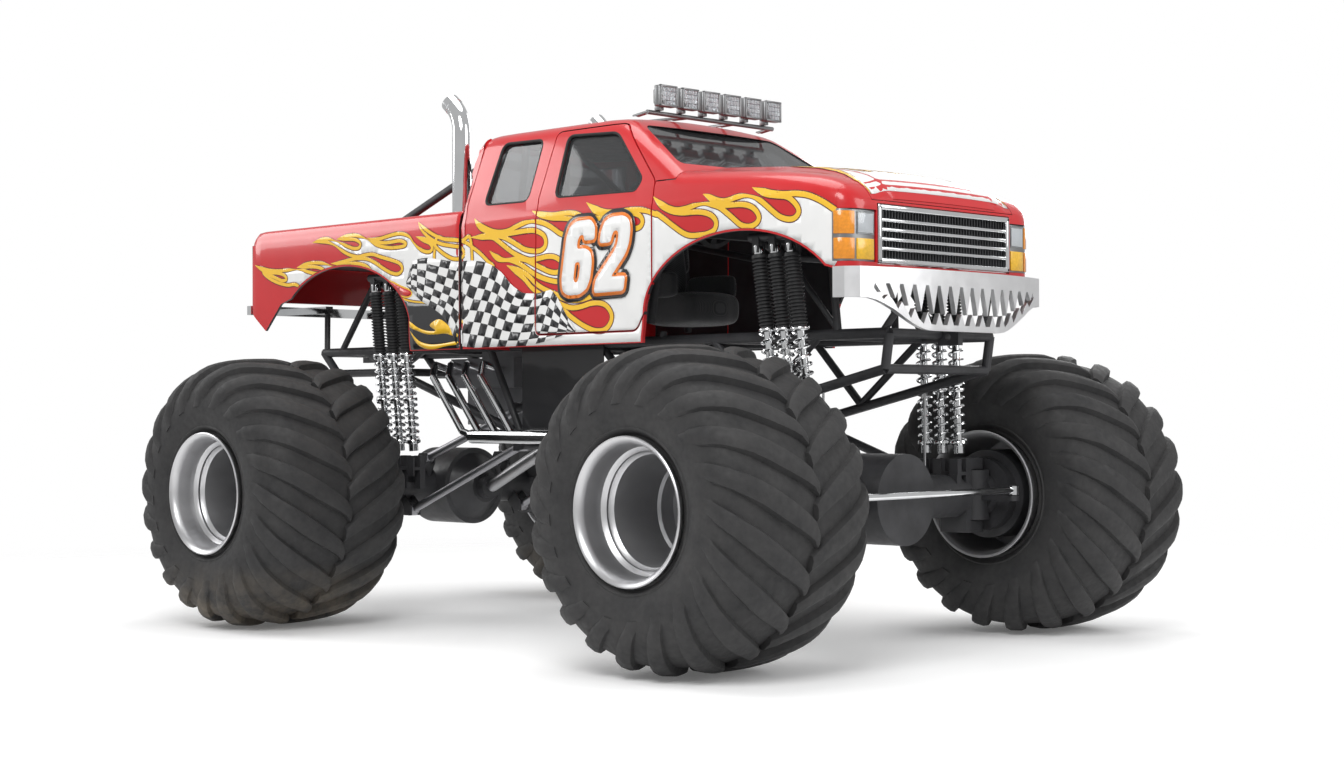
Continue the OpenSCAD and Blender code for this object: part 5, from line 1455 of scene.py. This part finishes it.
class TRUCK_OT_shocks(bpy.types.Operator):
    """Coil-over shock absorbers with ribbed boots"""
    bl_idname = "truck.shocks"
    bl_label = "Shock absorbers"

    def execute(self, context):
        place(build_shocks("front_coilovers", "front_shocks", 0.100), "chassis", ["front_shocks"])
        place(build_shocks("rear_coilovers", "rear_shocks", 0.030), "chassis", ["rear_shocks"])
        return {"FINISHED"}


class TRUCK_OT_fittings(bpy.types.Operator):
    """Grille, headlamps, roof lamps, seat and window seals"""
    bl_idname = "truck.fittings"
    bl_label = "Lamps, grille and seat"

    def execute(self, context):
        place(build_grille(), "chassis", ["grille"])
        place(build_headlamps(), "chassis", ["headlamps"])
        place(build_roof_lamps(), "chassis", ["roof_lamps"])
        build_seat()
        build_seals()
        return {"FINISHED"}


class TRUCK_OT_chassis(bpy.types.Operator):
    """Every other CAD piece with its finish and smooth tubes"""
    bl_idname = "truck.chassis"
    bl_label = "Chassis and fittings"

    def execute(self, context):
        done = {"front_shocks", "rear_shocks", "cab_shell", "bonnet", "nose_panel", "bed",
                "grille", "headlamps", "roof_lamps", "driver_seat"}
        for node in frame["nodes"]:
            if node in done or node.startswith(("tyre", "rim", "door_left", "door_right", "fender")):
                continue
            slot = SLOTS[node]
            mat = MAT[{"red_paint": "red", "white_paint": "white"}.get(slot, slot)]
            clean_copy(node, MAT["bumper_white"] if node == "front_bumper" else mat)
        return {"FINISHED"}


class TRUCK_OT_stage(bpy.types.Operator):
    """Pale floor, soft lamps and the camera"""
    bl_idname = "truck.stage"
    bl_label = "Stage"

    def execute(self, context):
        scene = context.scene
        bm = bmesh.new()
        bmesh.ops.create_grid(bm, x_segments=1, y_segments=1, size=16)
        bmesh.ops.translate(bm, verts=bm.verts, vec=(0, 0, CAD_BOX[0][2] - 0.001))
        floor = finish_object("floor", bm, smooth=0)
        mat = bpy.data.materials.new("floor_white")
        mat.use_nodes = True
        n, l = mat.node_tree.nodes, mat.node_tree.links
        b = n["Principled BSDF"]
        b.inputs["Base Color"].default_value = (0.95, 0.95, 0.95, 1)
        b.inputs["Emission Color"].default_value = (1, 1, 1, 1)
        b.inputs["Emission Strength"].default_value = 0.10
        b.inputs["Roughness"].default_value = 0.9
        b.inputs["Specular IOR Level"].default_value = 0.1
        floor.data.materials.append(mat)
        fade, shade_, clear = (n.new(t) for t in ("ShaderNodeTexGradient", "ShaderNodeMixShader",
                                                  "ShaderNodeBsdfTransparent"))
        fade.gradient_type = "SPHERICAL"
        coord, scale = n.new("ShaderNodeTexCoord"), n.new("ShaderNodeMapping")
        scale.inputs["Scale"].default_value = (1 / 9.5, 1 / 9.5, 1 / 9.5)
        edge = n.new("ShaderNodeMapRange")
        edge.inputs["From Min"].default_value, edge.inputs["From Max"].default_value = 0.0, 0.58
        l.new(coord.outputs["Object"], scale.inputs["Vector"])
        l.new(scale.outputs["Vector"], fade.inputs["Vector"])
        l.new(fade.outputs["Fac"], edge.inputs["Value"])
        l.new(edge.outputs["Result"], shade_.inputs["Fac"])
        l.new(clear.outputs[0], shade_.inputs[1])
        l.new(b.outputs[0], shade_.inputs[2])
        l.new(shade_.outputs[0], n["Material Output"].inputs["Surface"])
        world = scene.world or bpy.data.worlds.new("studio")
        scene.world = world
        world.use_nodes = True
        n, l = world.node_tree.nodes, world.node_tree.links
        n.clear()
        out = n.new("ShaderNodeOutputWorld")
        soft, white, mix, path = (n.new(t) for t in ("ShaderNodeBackground", "ShaderNodeBackground",
                                                     "ShaderNodeMixShader", "ShaderNodeLightPath"))
        soft.inputs["Color"].default_value = (1, 1, 1, 1)
        soft.inputs["Strength"].default_value = 0.5
        white.inputs["Color"].default_value = (1, 1, 1, 1)
        white.inputs["Strength"].default_value = 1.0
        l.new(path.outputs["Is Camera Ray"], mix.inputs["Fac"])
        l.new(soft.outputs[0], mix.inputs[1])
        l.new(white.outputs[0], mix.inputs[2])
        l.new(mix.outputs[0], out.inputs[0])
        for name, at, size, power in (("key", (5.5, -7.5, 7.5), 5.0, 520), ("fill", (9.0, 3.0, 5.0), 5.0, 210),
                                      ("rear", (-8.0, -4.0, 6.0), 5.0, 260), ("top", (0.0, 0.0, 9.5), 7.0, 330),
                                      ("left", (-2.0, 9.0, 5.0), 5.0, 260)):
            la = bpy.data.lights.new(name, "AREA")
            la.shape, la.size, la.energy = "DISK", size, power
            ob = bpy.data.objects.new(name, la)
            scene.collection.objects.link(ob)
            ob.location = at
            ob.rotation_euler = (Vector((0, 0, 1.4)) - Vector(at)).to_track_quat("-Z", "Y").to_euler()
        cam = bpy.data.cameras.new("camera")
        ob = bpy.data.objects.new("camera", cam)
        scene.collection.objects.link(ob)
        yaw, pitch, roll = (math.radians(a) for a in (44.3026, 0.7261, -0.2133))
        look = Vector((-math.sin(yaw) * math.cos(pitch), math.cos(yaw) * math.cos(pitch), math.sin(pitch)))
        right = look.cross(Vector((0, 0, 1))).normalized()
        up = right.cross(look)
        r2 = right * math.cos(roll) + up * math.sin(roll)
        u2 = -right * math.sin(roll) + up * math.cos(roll)
        m = Matrix((r2, u2, -look)).transposed().to_4x4()
        m.translation = Vector((9.4545, -9.2687, 1.3359))
        ob.matrix_world = m
        cam.sensor_width, cam.lens = 36.0, 56.62
        cam.clip_end = 300
        scene.camera = ob
        scene.view_settings.view_transform = "Standard"
        return {"FINISHED"}


class TRUCK_PT_panel(bpy.types.Panel):
    bl_label = "Monster Truck"
    bl_idname = "TRUCK_PT_panel"
    bl_space_type = "VIEW_3D"
    bl_region_type = "UI"
    bl_category = "Truck"

    def draw(self, context):
        s = context.scene.truck_settings
        for key in TruckSettings.__annotations__:
            self.layout.prop(s, key)
        for op in OPERATORS:
            self.layout.operator(op.bl_idname)


OPERATORS = (TRUCK_OT_body, TRUCK_OT_paint, TRUCK_OT_wheels, TRUCK_OT_shocks, TRUCK_OT_fittings, TRUCK_OT_chassis,
             TRUCK_OT_stage)
CLASSES = (TruckSettings, *OPERATORS, TRUCK_PT_panel)


def register():
    for c in CLASSES:
        bpy.utils.register_class(c)
    bpy.types.Scene.truck_settings = PointerProperty(type=TruckSettings)


def unregister():
    del bpy.types.Scene.truck_settings
    for c in reversed(CLASSES):
        bpy.utils.unregister_class(c)


def main():
    register()
    make_finishes(settings())
    for op in OPERATORS:
        getattr(bpy.ops.truck, op.bl_idname.split(".")[1])()


if __name__ == "__main__":
    main()
